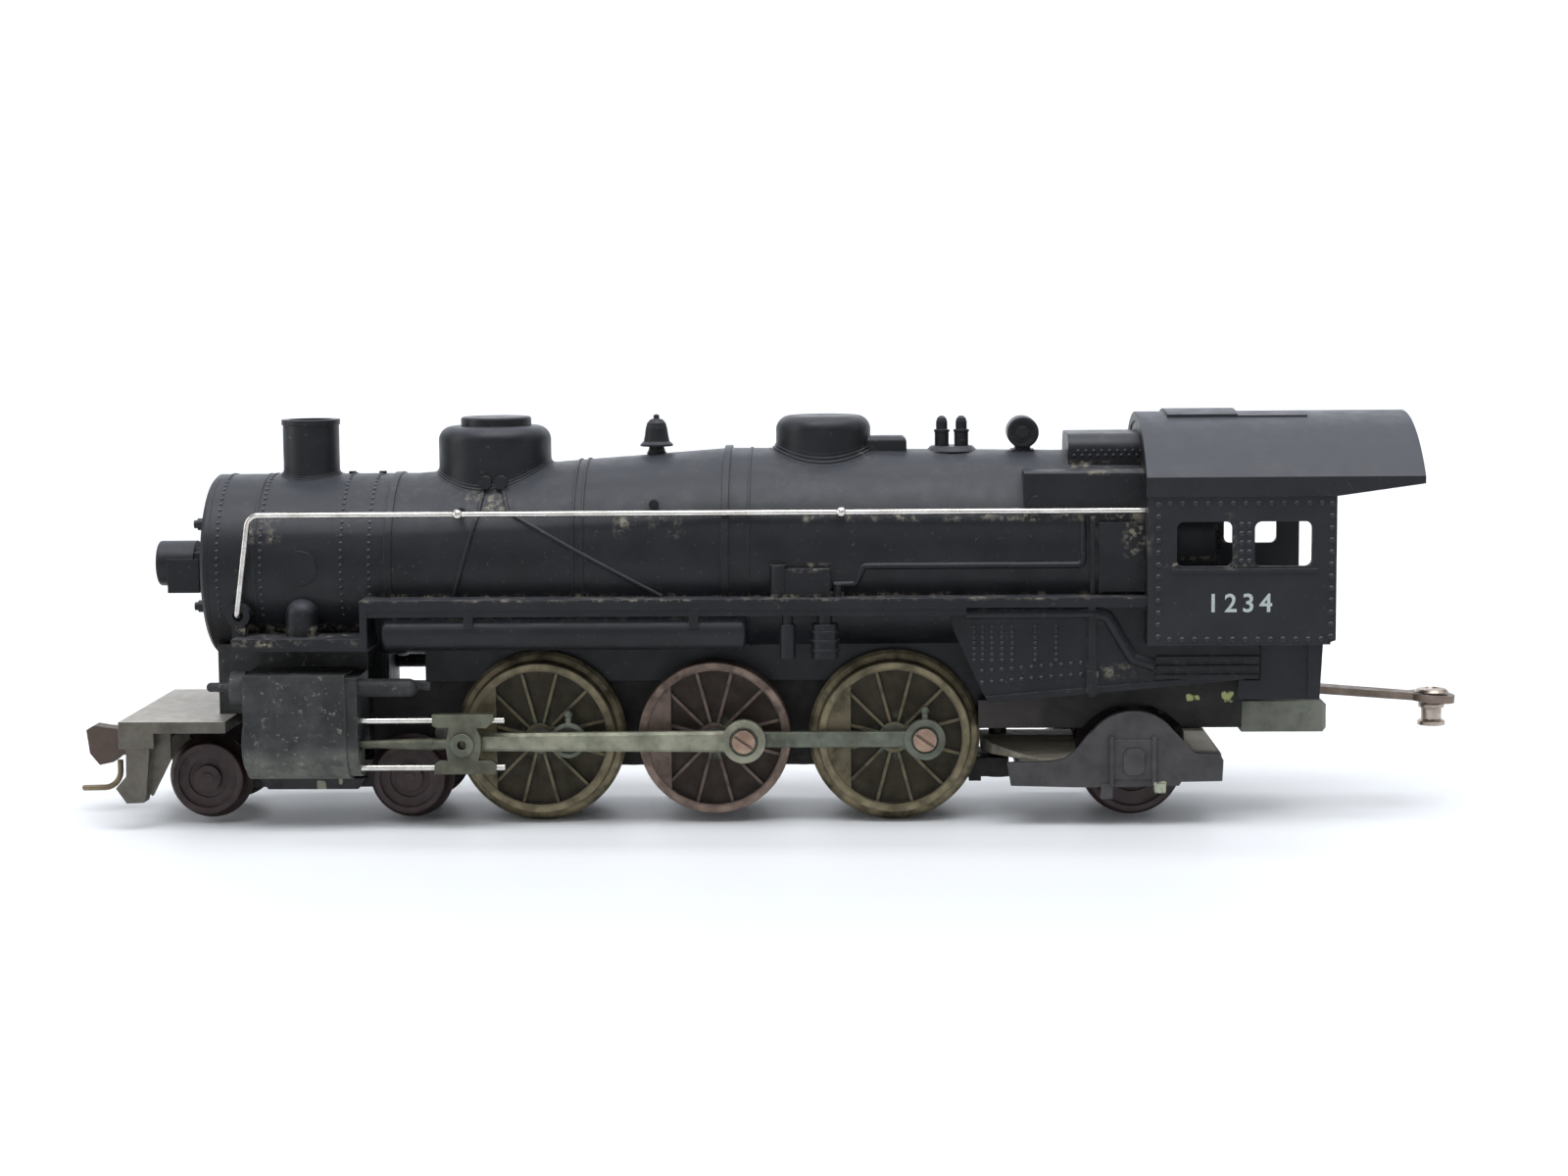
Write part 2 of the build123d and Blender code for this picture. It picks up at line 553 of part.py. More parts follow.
# ------------------------------------------------------------------ frame and cylinders
def axle_slot(x):
    """Slot that a driving axle drops into from below, with a round top."""
    r = DRIVER_AXLE_R + RUNNING_FIT
    return block(x - r, x + r, -9, 9, 0, AXLE_Z) + rod_y(-9, 9, x, AXLE_Z, r)


def rear_frame():
    """Side plates beside the motor, arched over the trailing wheels, and the webs that hold them."""
    y0, y1 = REAR_PLATE_Y
    bottom = REAR_PLATE_BOTTOM_Z
    plate = slab([(34.7, bottom), (69.0, bottom), (69.0, 20.2), (37.8, 20.2), (37.8, 16.1), (34.7, 16.1)], y0, y1)
    plate -= rod_y(y0 - 1, y1 + 1, TRAILING_AXLE_X, TRAILING_AXLE_Z, TRAILING_FLANGE_R + 1.5)
    webs = block(34.9, 40.0, -y1, y1, bottom, 13.9) + block(64.5, 69.0, -y1, y1, bottom, 13.9)
    return both_sides(plate) + webs


def main_frame():
    outline = [(CYLINDER_BACK_X, 8.6), (-34.6, 8.6), (-34.0, 7.6), (33.0, 7.6), (34.0, 11.7), (69.6, 11.7),
               (69.6, 13.9), (33.5, 13.9), (32.5, FRAME_TOP_Z), (-38.3, FRAME_TOP_Z), (-38.3, 17.0),
               (CYLINDER_BACK_X, 17.0)]
    frame = slab(outline, -FRAME_HALF_Y, FRAME_HALF_Y) + rear_frame()
    frame -= both_sides(block(46.0, 64.0, 4.4, 5.1, 11.0, 14.5))
    for x in (AXLE_1_X, AXLE_2_X, AXLE_3_X):
        frame -= axle_slot(x)
    frame -= block(AXLE_3_X - 6.8, 33.6, -2.3, 2.3, 0, 30)
    frame -= rod_y(-9, 9, STROKE_MIDDLE_X, AXLE_Z, 1.2 + RUNNING_FIT)
    for x in (-11.5, 11.5):
        frame -= rod_z(5, 12, x, 0, 0.8)
    frame -= rod_z(5, 14, TRAILING_PIVOT_X, 0, 0.8)
    return frame


def bottom_plate():
    """Cover below the driving axles; its rear end carries the trailing truck's tongue."""
    plate = block(-33.5, 32.5, -4.8, 4.8, 6.8, 7.6) + block(32.4, 38.9, -4.8, 4.8, 5.1, 7.6)
    plate += block(33.6, 35.2, -4.8, 4.8, 4.5, 5.2)
    plate -= rod_z(4, 9, TRAILING_PIVOT_X, 0, 1.25)
    plate -= block(AXLE_3_X - 6.8, AXLE_3_X + 6.8, -2.3, 2.3, 0, 10)
    for x in (-11.5, 11.5):
        plate -= rod_z(5, 9, x, 0, 0.8)
    return plate


def tail_plate():
    """Bare cast end of the frame under the cab, with its corners cut off."""
    plate = block(69.6, 80.8, -5.5, 5.5, 11.1, TAIL_TOP_Z)
    plate = chamfer(plate.edges().group_by(Axis.X)[-1], 0.5)
    return plate - rod_z(11, 16, DRAWBAR_PIVOT_X, 0, 0.8)


def cylinder_side():
    """Right-hand cylinder with its valve chest, covers and valve rod guides."""
    centre_y = CYLINDER_OUTER_Y - BARREL_R
    front, back = CYLINDER_FRONT_X, CYLINDER_BACK_X
    shape = rod_x(front, back - 1.5, centre_y, AXLE_Z, BARREL_R)
    shape += block(front, back - 1.5, SADDLE_HALF_Y - 0.5, CYLINDER_OUTER_Y, AXLE_Z, CYLINDER_TOP_Z)
    shape += rod_x(back - 1.6, back, centre_y, AXLE_Z, BARREL_R - 0.35)
    shape += block(back - 1.6, back, SADDLE_HALF_Y - 0.5, CYLINDER_OUTER_Y - 0.35, AXLE_Z, CYLINDER_TOP_Z - 0.4)
    shape += rod_x(front - 0.5, front + 0.1, centre_y, AXLE_Z, BARREL_R - 1.0)
    shape += rod_x(front - 1.8, front + 0.1, MOTION_Y, 18.75, 2.3)
    shape += rod_x(front - 4.6, front - 1.7, MOTION_Y, 18.9, 0.62) + ball(front - 4.6, MOTION_Y, 18.9, 0.62)
    shape += rod_x(back - 0.1, -39.6, MOTION_Y, 18.75, 1.2) + ball(-39.6, MOTION_Y, 18.75, 1.2)
    shape -= block(back - 1.6, back + 0.1, 7.0, 11.6, 5, 12.6)
    shape -= rod_x(-60.6, back + 1, MOTION_Y, AXLE_Z, PISTON_NECK_R + 0.03)
    return shape


def cylinder_block():
    shape = both_sides(cylinder_side())
    shape += block(-66.0, -60.0, -SADDLE_HALF_Y, SADDLE_HALF_Y, DECK_TOP_Z, 25.0)
    shape += block(-60.0, CYLINDER_BACK_X, -SADDLE_HALF_Y, SADDLE_HALF_Y, 10.2, 25.0)
    shape += block(-60.0, -57.0, -SADDLE_HALF_Y, SADDLE_HALF_Y, 10.2, 14.4)
    shape -= barrel(-66.1, -40.2, 0.16) + block(-67, -40, -20, 20, PLATFORM_TOP_Z - PLATFORM_THICK, 40)
    return shape - rod_z(9, 14, PILOT_PIVOT_X, 0, 0.8)


def guide_bars():
    """Upper and lower guide wires of both crossheads."""
    bars = []
    for side in (-1, 1):
        for step in (-GUIDE_OFFSET_Z, GUIDE_OFFSET_Z):
            bar = rod_x(CYLINDER_BACK_X, -27.1, side * MOTION_Y, AXLE_Z + step, GUIDE_R)
            bars.append(chamfer(bar.edges().sort_by(Axis.X)[-1], 0.1))
    return group(bars)


def step_post():
    """Right-hand footboard post under the front beam."""
    outline = [(-76.9, 11.0), (-77.0, 7.2), (-78.4, 5.6), (-77.0, 3.6), (-74.7, 3.7), (-74.4, 4.9), (-73.8, 11.0)]
    return slab(outline, 12.3, 15.0)


def step_brace():
    """Right-hand slanting brace behind the footboard post."""
    return slab([(-74.6, 4.9), (-74.0, 4.3), (-71.4, 9.3), (-71.4, 13.1), (-73.9, 13.1)], 12.5, 13.4)


def pilot_deck():
    deck = block(DECK_FRONT_X, DECK_BACK_X, -DECK_HALF_Y, DECK_HALF_Y, DECK_TOP_Z - DECK_THICK, DECK_TOP_Z)
    deck += block(DECK_BACK_X - 1, -60.0, -FRAME_HALF_Y, FRAME_HALF_Y, DECK_TOP_Z - DECK_THICK, DECK_TOP_Z)
    deck += block(DECK_FRONT_X, -73.2, -DECK_HALF_Y, DECK_HALF_Y, 10.9, DECK_TOP_Z)
    deck += block(DECK_FRONT_X + 0.2, -71.0, -4.2, 4.2, 8.5, 13.0)
    deck += both_sides(step_post() + step_brace())
    deck -= block(DECK_FRONT_X - 1, -71.8, -2.9, 2.9, 8.4, 10.5)
    return deck - rod_z(7, 12.0, COUPLER_PIVOT_X, 0, 0.8)


def coupler_lid():
    return block(DECK_FRONT_X + 0.2, -71.0, -4.2, 4.2, 7.7, 8.5) - rod_z(7, 9, COUPLER_PIVOT_X, 0, 0.8)


def pan_head_screw(x, z_under_head, length, head_r=1.5):
    """Slotted screw driven upwards, its head below z_under_head."""
    head = rod_z(z_under_head - 0.6, z_under_head, x, 0, head_r)
    head -= block(x - 2, x + 2, -0.2, 0.2, z_under_head - 0.7, z_under_head - 0.3)
    return head + rod_z(z_under_head, z_under_head + length, x, 0, 0.79)


def frame_screws():
    """Screws of the axle cover and of the coupler pocket's lid."""
    return group([pan_head_screw(-11.5, 6.8, 4.6), pan_head_screw(11.5, 6.8, 4.6),
                  pan_head_screw(COUPLER_PIVOT_X, 7.7, 4.2)])


def pivot_screw(x, head_z, shoulder_top, thread_top):
    """Shoulder screw that a truck or the drawbar turns on."""
    head = rod_z(head_z - 0.6, head_z, x, 0, 2.0) - block(x - 3, x + 3, -0.25, 0.25, head_z - 0.7, head_z - 0.3)
    return head + rod_z(head_z, shoulder_top, x, 0, 1.2) + rod_z(shoulder_top, thread_top, x, 0, 0.79)


def pivot_screws():
    """Shoulder screws of the pilot truck, the trailing truck and the drawbar."""
    drawbar = pivot_screw(DRAWBAR_PIVOT_X, -17.55, -TAIL_TOP_Z, -12.0)
    drawbar = Pos(2 * DRAWBAR_PIVOT_X, 0, 0) * Rot(0, 180, 0) * drawbar
    return group([pivot_screw(PILOT_PIVOT_X, 5.0, 10.2, 13.6), pivot_screw(TRAILING_PIVOT_X, 5.1, 11.7, 13.6),
                  drawbar])


# ------------------------------------------------------------------ driving wheels and rods
def tread_ring(tread_r, flange_r, flanged):
    """Wheel tyre with its inner face at WHEEL_INNER_Y, built about the Y axis."""
    inner, outer = WHEEL_INNER_Y, WHEEL_INNER_Y + WHEEL_WIDTH
    profile = [(0, inner), (tread_r, inner), (tread_r, outer - 0.15), (tread_r - 0.15, outer), (0, outer)]
    if flanged:
        tip = inner + FLANGE_WIDTH
        profile = [(0, inner), (flange_r - 0.4, inner), (flange_r, inner + 0.25), (flange_r, inner + 0.5),
                   (flange_r - 0.45, tip), (tread_r + 0.15, tip + 0.25), (tread_r, tip + 0.5),
                   (tread_r - 0.05, outer - 0.15), (tread_r - 0.2, outer), (0, outer)]
    face = make_face(Polyline(*[(r, y, 0) for r, y in profile], close=True))
    return revolve(face, Axis.Y)


def driving_wheel(flanged):
    """Right-hand driving wheel about the Y axis, with its crank towards +X."""
    face_y = WHEEL_INNER_Y + WHEEL_WIDTH
    rim_r = DRIVER_TREAD_R - 1.15
    wheel = tread_ring(DRIVER_TREAD_R, DRIVER_FLANGE_R, flanged)
    wheel -= rod_y(face_y - 1.2, face_y + 1, 0, 0, rim_r)
    for i in range(12):
        spoke = block(1.5, rim_r + 0.1, face_y - 1.3, face_y - 0.45, -0.2, 0.2)
        wheel += Rot(0, 30 * i + 15, 0) * spoke
    weight = rod_y(face_y - 1.3, face_y - 0.1, 0, 0, rim_r + 0.05) & block(-12, -5.7, 0, 20, -12, 12)
    wheel += weight + rod_y(face_y - 1.3, face_y + 0.1, 0, 0, 2.0)
    wheel += rod_y(face_y - 1.3, face_y + 0.7, CRANK_R, 0, 1.8)
    wheel += block(0, CRANK_R, face_y - 1.3, face_y + 0.1, -1.5, 1.5)
    wheel -= rod_y(0, 20, 0, 0, DRIVER_AXLE_R)
    return wheel - rod_y(8.0, 20, CRANK_R, 0, CRANK_PIN_R)


def crank_pin(head_y, head_r, head_thick):
    """Right-hand crank screw about the Y axis, with its slotted head outside the rods."""
    pin = rod_y(8.0, head_y, CRANK_R, 0, CRANK_PIN_R) + rod_y(head_y, head_y + head_thick, CRANK_R, 0, head_r)
    if head_thick > 0.4:
        slot = block(-3, 3, head_y + head_thick - 0.35, head_y + head_thick + 1, -0.2, 0.2)
        pin -= Pos(CRANK_R, 0, 0) * Rot(0, 35, 0) * slot
    return pin


def placed(shape, x, side):
    """Move a right-hand wheel piece onto its axle; the right cranks lead by a quarter turn."""
    if side == "right":
        return Pos(x, 0, AXLE_Z) * Rot(0, -RIGHT_CRANK_TURN, 0) * shape
    return Pos(x, 0, AXLE_Z) * other_side(shape)


def crank_centre(x, side):
    """Crank pin centre in the X-Z plane."""
    turn = radians(RIGHT_CRANK_TURN if side == "right" else 0)
    return x + CRANK_R * cos(turn), AXLE_Z + CRANK_R * sin(turn)


def oil_cup(x, z):
    y = sum(SIDE_ROD_Y) / 2
    return rod_z(z - 0.4, z + 0.8, x, y, 0.42) + ball(x, y, z + 1.1, 0.58)


def side_rod():
    """Right-hand side rod with its middle eye at the origin."""
    y0, y1 = SIDE_ROD_Y
    front, back = AXLE_1_X - AXLE_2_X, AXLE_3_X - AXLE_2_X
    bar = block(front, back, y0 + 0.1, y1, -1.05, 1.05)
    bar = fillet(bar.edges().filter_by(Axis.X).group_by(Axis.Y)[-1], 0.3)
    rod = bar + rod_y(y0, y1, front, 0, 2.3) + rod_y(y0, y1, 0, 0, 2.3) + rod_y(y0, y1 + 0.35, back, 0, 2.65)
    rod += oil_cup(front, 2.3) + oil_cup(back, 2.65)
    for x in (front, 0, back):
        rod -= rod_y(y0 - 1, y1 + 1, x, 0, CRANK_PIN_R + RUNNING_FIT)
    rod -= rod_y(y1 + 0.05, y1 + 1, back, 0, 1.8) + rod_y(y1 - 0.35, y1 + 1, front, 0, 1.75)
    return rod


def main_rod():
    """Right-hand main rod, its big end at the origin and its small end ahead of it."""
    y0, y1 = MAIN_ROD_Y
    bar = slab([(-MAIN_ROD_LENGTH, -1.15), (0, -1.4), (0, 1.4), (-MAIN_ROD_LENGTH, 1.15)], y0, y1)
    bar = chamfer(bar.edges().filter_by(lambda e: e.length > 30).group_by(Axis.Y)[-1], 0.38)
    rod = bar + rod_y(y0, y1, 0, 0, 2.84) + rod_y(y0, y1, -MAIN_ROD_LENGTH, 0, 1.5)
    rod -= rod_y(y0 - 1, y1 + 1, 0, 0, CRANK_PIN_R + RUNNING_FIT)
    rod -= rod_y(y1 - 0.45, y1 + 1, 0, 0, 1.9)
    return rod - rod_y(y0 - 1, y1 + 1, -MAIN_ROD_LENGTH, 0, 0.95)


def wrist_x(side):
    """Where the wrist pin stands on its stroke."""
    turn = radians(RIGHT_CRANK_TURN if side == "right" else 0)
    return STROKE_MIDDLE_X + CRANK_R * cos(turn)


def crosshead():
    """Right-hand crosshead with its wrist pin hole at the origin of X and Z."""
    y0, y1 = 13.85, 15.45
    body = slab([(-1.9, -2.2), (2.0, -2.2), (2.4, -0.8), (2.4, 0.9), (1.8, 2.4), (-1.7, 2.4), (-2.2, 0)], y0, y1)
    upper = slab([(-3.9, 2.55), (-3.4, 2.3), (3.2, 2.2), (4.1, 3.1), (4.1, 3.95), (-3.9, 3.95)], y0, y1)
    lower = slab([(-3.7, -3.85), (4.3, -3.85), (4.4, -2.6), (3.8, -2.1), (-3.1, -2.1), (-3.7, -2.6)], y0, y1)
    boss = rod_x(-3.9, -1.5, MOTION_Y, 0, 0.78)
    shape = body + upper + lower + boss
    for step in (-GUIDE_OFFSET_Z, GUIDE_OFFSET_Z):
        shape -= rod_x(-6, 6, MOTION_Y, step, GUIDE_R + RUNNING_FIT)
    return shape - rod_y(13, 17, 0, 0, 1.0 + RUNNING_FIT)


def wrist_pin():
    """Right-hand tubular rivet that joins the crosshead to the main rod."""
    pin = rod_y(13.85, 15.5, 0, 0, 1.0) + rod_y(15.5, 15.85, 0, 0, 1.5)
    return pin - rod_y(13, 17, 0, 0, 0.62)


def piston_rod():
    """Right-hand piston rod, thickening towards the crosshead."""
    rod = turned([(0, -19.0), (PISTON_ROD_R, -19.0), (PISTON_ROD_R, -13.5), (PISTON_NECK_R, -4.6),
                  (PISTON_NECK_R, -3.9), (0, -3.9)])
    return Pos(0, MOTION_Y, 0) * Rot(0, 90, 0) * rod


def on_stroke(shape, side):
    """Move a right-hand crosshead piece to its place on its own side."""
    place = Pos(wrist_x(side), 0, AXLE_Z)
    return place * (shape if side == "right" else other_side(shape))


def placed_rod(shape, side, tilt=0.0):
    """Hang a right-hand rod on the middle crank pin of its own side."""
    x, z = crank_centre(AXLE_2_X, side)
    shape = Rot(0, tilt, 0) * shape
    return Pos(x, 0, z) * (shape if side == "right" else other_side(shape))


def worm_gear():
    """Gear on the rear driving axle, with short straight teeth."""
    gear = rod_y(-1.9, 1.9, 0, 0, GEAR_TIP_R)
    for i in range(WORM_TEETH):
        gap = block(GEAR_TIP_R - 0.55, GEAR_TIP_R + 1, -3, 3, -0.3, 0.3)
        gear -= Rot(0, 360 / WORM_TEETH * i, 0) * gap
    return Pos(AXLE_3_X, 0, AXLE_Z) * (gear - rod_y(-3, 3, 0, 0, DRIVER_AXLE_R))


# ------------------------------------------------------------------ motor
def motor_frame():
    """Steel side plates and end plates of the open motor."""
    x0, x1 = MOTOR_X
    sides = both_sides(block(x0 + 1.6, x1 - 1.6, 6.4, 8.0, 15.0, 38.0))
    front = block(x0, x0 + 1.6, -8.0, 8.0, 13.9, 27.0)
    back = block(x1 - 1.6, x1, -8.0, 8.0, 13.9, 34.0)
    poles = both_sides(block(x0 + 1.7, x1 - 1.7, 5.6, 6.45, 15.5, 24.0))
    return sides + front + back + poles - rod_x(30, 70, 0, MOTOR_Z, 0.75 + RUNNING_FIT)


def motor_magnet():
    x0, x1 = MOTOR_X
    return block(x0 + 1.7, x1 - 1.7, -6.4, 6.4, 27.5, 37.8)


def motor_armature():
    """Armature drum with its windings' ends, commutator and shaft, and the worm's rings over the gear."""
    x0, x1 = MOTOR_X
    shape = rod_x(AXLE_3_X - 4.0, x1 + 0.5, 0, MOTOR_Z, 0.75)
    shape += rod_x(x0 + 4.0, x1 - 5.5, 0, MOTOR_Z, ARMATURE_R)
    shape += rod_x(x0 + 2.4, x1 - 3.9, 0, MOTOR_Z, ARMATURE_R - 1.3)
    shape += rod_x(x1 - 4.0, x1 - 2.0, 0, MOTOR_Z, 1.6)
    shape += rod_x(AXLE_3_X + 5.0, AXLE_3_X + 10.0, 0, MOTOR_Z, 1.2)
    worm_r = MOTOR_Z - AXLE_Z - GEAR_TIP_R - 0.1
    for i in range(8):
        x = AXLE_3_X - 3.6 + i * 1.0
        shape += rod_x(x, x + 0.45, 0, MOTOR_Z, worm_r)
    return shape


# ------------------------------------------------------------------ trucks
def disc_wheel(tread_r, flange_r):
    """Right-hand plain wheel with a dished face, about the Y axis."""
    face_y = WHEEL_INNER_Y + WHEEL_WIDTH
    wheel = tread_ring(tread_r, flange_r, True)
    wheel -= rod_y(face_y - 0.5, face_y + 1, 0, 0, tread_r - 0.85)
    wheel += rod_y(face_y - 0.6, face_y - 0.1, 0, 0, 1.75)
    wheel -= rod_y(face_y - 0.8, face_y + 1, 0, 0, tread_r * 0.55) - rod_y(0, 20, 0, 0, 1.75)
    return wheel - rod_y(0, 20, 0, 0, SMALL_AXLE_R)


def wheelset(x, z, tread_r, flange_r, axle_half):
    """Two wheels and their axle, as three solids."""
    wheel = disc_wheel(tread_r, flange_r)
    axle = rod_y(-axle_half, axle_half, 0, 0, SMALL_AXLE_R)
    return Pos(x, 0, z) * group([wheel, other_side(wheel), axle])


def pilot_truck_frame():
    bar = block(-70.2, -37.8, 3.2, 4.6, 3.9, 7.6)
    frame = both_sides(bar) + block(-60.0, -48.0, -3.3, 3.3, 5.0, 7.4)
    frame += both_sides(slab([(-61.3, 5.3), (-60.2, 3.85), (-48.1, 3.85), (-47.0, 5.3)], 4.5, 6.1))
    for x in PILOT_AXLE_X:
        frame -= rod_y(-9, 9, x, PILOT_AXLE_Z, SMALL_AXLE_R + RUNNING_FIT)
    return frame - rod_z(2, 9, PILOT_PIVOT_X, 0, 1.2 + RUNNING_FIT)


def pilot_truck_spring():
    """Coil spring around the pilot truck's pivot screw."""
    return Pos(PILOT_PIVOT_X, 0, 7.62) * along(Helix(pitch=0.75, height=2.2, radius=1.75), 0.2)


def trailing_side():
    """Right-hand side frame of the trailing truck, humped over its axle box."""
    y0, y1 = 12.0, 13.4
    hump_x, hump_z, hump_r = 54.7, 8.6, 6.5
    side = slab([(38.8, 5.35), (48.3, 5.1), (60.6, 5.3), (60.9, 5.8), (66.2, 5.9), (66.35, 8.6), (66.0, 9.3),
                 (62.9, 9.4), (62.2, 9.9), (60.6, 11.8), (59.0, 13.4), (50.6, 13.5), (48.9, 12.0), (47.3, 9.9),
                 (45.8, 8.8), (44.0, 8.4), (38.3, 8.3)], y0, y1)
    side += rod_y(y0, y1, hump_x, hump_z, hump_r) - block(40, 70, y0 - 1, y1 + 1, 0, 5.3)
    lid = block(53.4, 56.1, y1 - 0.1, y1 + 0.55, 6.8, 10.2)
    side += fillet(lid.edges().filter_by(Axis.Y), 0.9) + block(51.9, 57.3, y1 - 0.1, y1 + 0.2, 6.2, 11.4)
    for x in (51.6, 57.1):
        side += block(x, x + 0.5, y1 - 0.1, y1 + 0.45, 5.4, 11.8)
    side += block(50.5, 52.0, y0, y1 + 0.2, 3.6, 5.6) + block(57.4, 58.9, y0, y1 + 0.2, 4.3, 5.6)
    side -= rod_y(y0 - 1, y0 + 0.8, TRAILING_AXLE_X, TRAILING_AXLE_Z, SMALL_AXLE_R + RUNNING_FIT)
    return side


def trailing_tongue():
    """Tongue from the pivot to the front cross member, sloping down to both sides."""
    ridge = [(-11.6, 8.25), (-11.6, 8.6), (-2.4, 10.3), (2.4, 10.3), (11.6, 8.6), (11.6, 8.25)]
    face = make_face(Polyline(*[(34, y, z) for y, z in ridge], close=True))
    left = [(35.3, -2.6), (36.6, -5.6), (40.0, -9.4), (42.5, -11.6), (47.6, -11.6)]
    right = [(x, -y) for x, y in reversed(left)]
    return extrude(face, amount=13.6, dir=(1, 0, 0)) & plan(left + right, 8.0, 12.0)


def trailing_truck_frame():
    frame = both_sides(trailing_side())
    frame += block(40.0, 46.8, -12.1, 12.1, 5.6, 8.35) + block(62.1, 66.2, -12.1, 12.1, 6.0, 9.3)
    frame += slab([(62.1, 9.2), (65.6, 9.2), (64.3, 11.3), (62.1, 11.3)], -12.1, 12.1)
    frame += both_sides(slab([(61.3, 9.2), (66.0, 9.2), (64.0, 12.3), (61.3, 12.3)], 9.6, 12.1))
    frame += trailing_tongue()
    return frame - rod_z(2, 12, TRAILING_PIVOT_X, 0, 1.2 + RUNNING_FIT)


# ------------------------------------------------------------------ couplings at both ends
def drawbar():
    """Flat bar from its pivot down to the round eye over the spool."""
    reach = (SPOOL_X - DRAWBAR_PIVOT_X) / cos(radians(DRAWBAR_TILT))
    outline = [(0, -1.9), (reach - 2.6, -1.4), (reach - 2.0, -2.2), (reach, -3.05), (reach, 3.05),
               (reach - 2.0, 2.2), (reach - 2.6, 1.4), (0, 1.9)]
    half = DRAWBAR_HALF_THICK
    bar = plan(outline, -half, half) + rod_z(-half, half, 0, 0, 2.6) + rod_z(-half, half, reach, 0, 3.05)
    bar = Pos(DRAWBAR_PIVOT_X, 0, DRAWBAR_PIVOT_Z) * Rot(0, DRAWBAR_TILT, 0) * bar
    bar -= rod_z(14, 19, DRAWBAR_PIVOT_X, 0, 1.2 + RUNNING_FIT + 0.03)
    return bar - rod_z(spool_z() - 2, spool_z() + 2, SPOOL_X, 0, SPOOL_WAIST_R)


def spool_z():
    """Height of the drawbar's middle at the spool."""
    return DRAWBAR_PIVOT_Z - (SPOOL_X - DRAWBAR_PIVOT_X) * tan(radians(DRAWBAR_TILT))


def drawbar_pin():
    """Riveted spool that the tender's hook drops over."""
    profile = [(0, -3.7), (1.85, -3.7), (1.85, -3.2), (SPOOL_WAIST_R, -2.9), (SPOOL_WAIST_R, -1.5), (1.7, -1.3),
               (1.7, -0.85), (SPOOL_WAIST_R, -0.85), (SPOOL_WAIST_R, 0.72), (2.3, 0.72), (1.9, 1.1), (0.9, 1.25),
               (0.6, 0.9), (0, 0.9)]
    return turned(profile, SPOOL_X, 0, spool_z())


def coupler_head():
    """Fixed half of the knuckle coupler with its shank."""
    outline = [(-80.4, 11.4), (-84.6, 12.0), (-85.6, 11.4), (-85.2, 8.2), (-83.9, 6.6), (-82.0, 7.0), (-80.4, 8.2)]
    head = slab(outline, -2.5, 0.35)
    head += block(-82.2, -79.6, -2.5, 2.0, 8.0, 11.3)
    shank = block(-80.0, -72.6, -1.3, 1.3, 8.7, 10.2) + rod_z(8.7, 10.2, COUPLER_PIVOT_X, 0, 1.9)
    shank -= rod_z(8, 11, COUPLER_PIVOT_X, 0, 0.79 + RUNNING_FIT)
    head -= rod_z(6, 13, -83.0, 1.4, 1.25)
    return head + shank


def coupler_knuckle():
    """Hooked jaw on its own pivot in the head."""
    jaw = rod_z(8.2, 11.1, -83.0, 1.4, 1.1)
    jaw += block(-85.4, -83.0, 1.0, 2.4, 8.2, 11.1) + block(-85.9, -84.9, -0.2, 2.4, 8.2, 11.1)
    return jaw - block(-87.0, -80.0, -1.0, 0.45, 8.0, 11.3)


def trip_pin():
    """Curved wire below the coupler head."""
    wire = bent_wire([(-81.5, -0.9, 7.05), (-81.5, -0.9, 3.3), (-86.5, -0.9, 3.2)], 0.4, 2.3)
    return wire + ball(-86.5, -0.9, 3.2, 0.4)


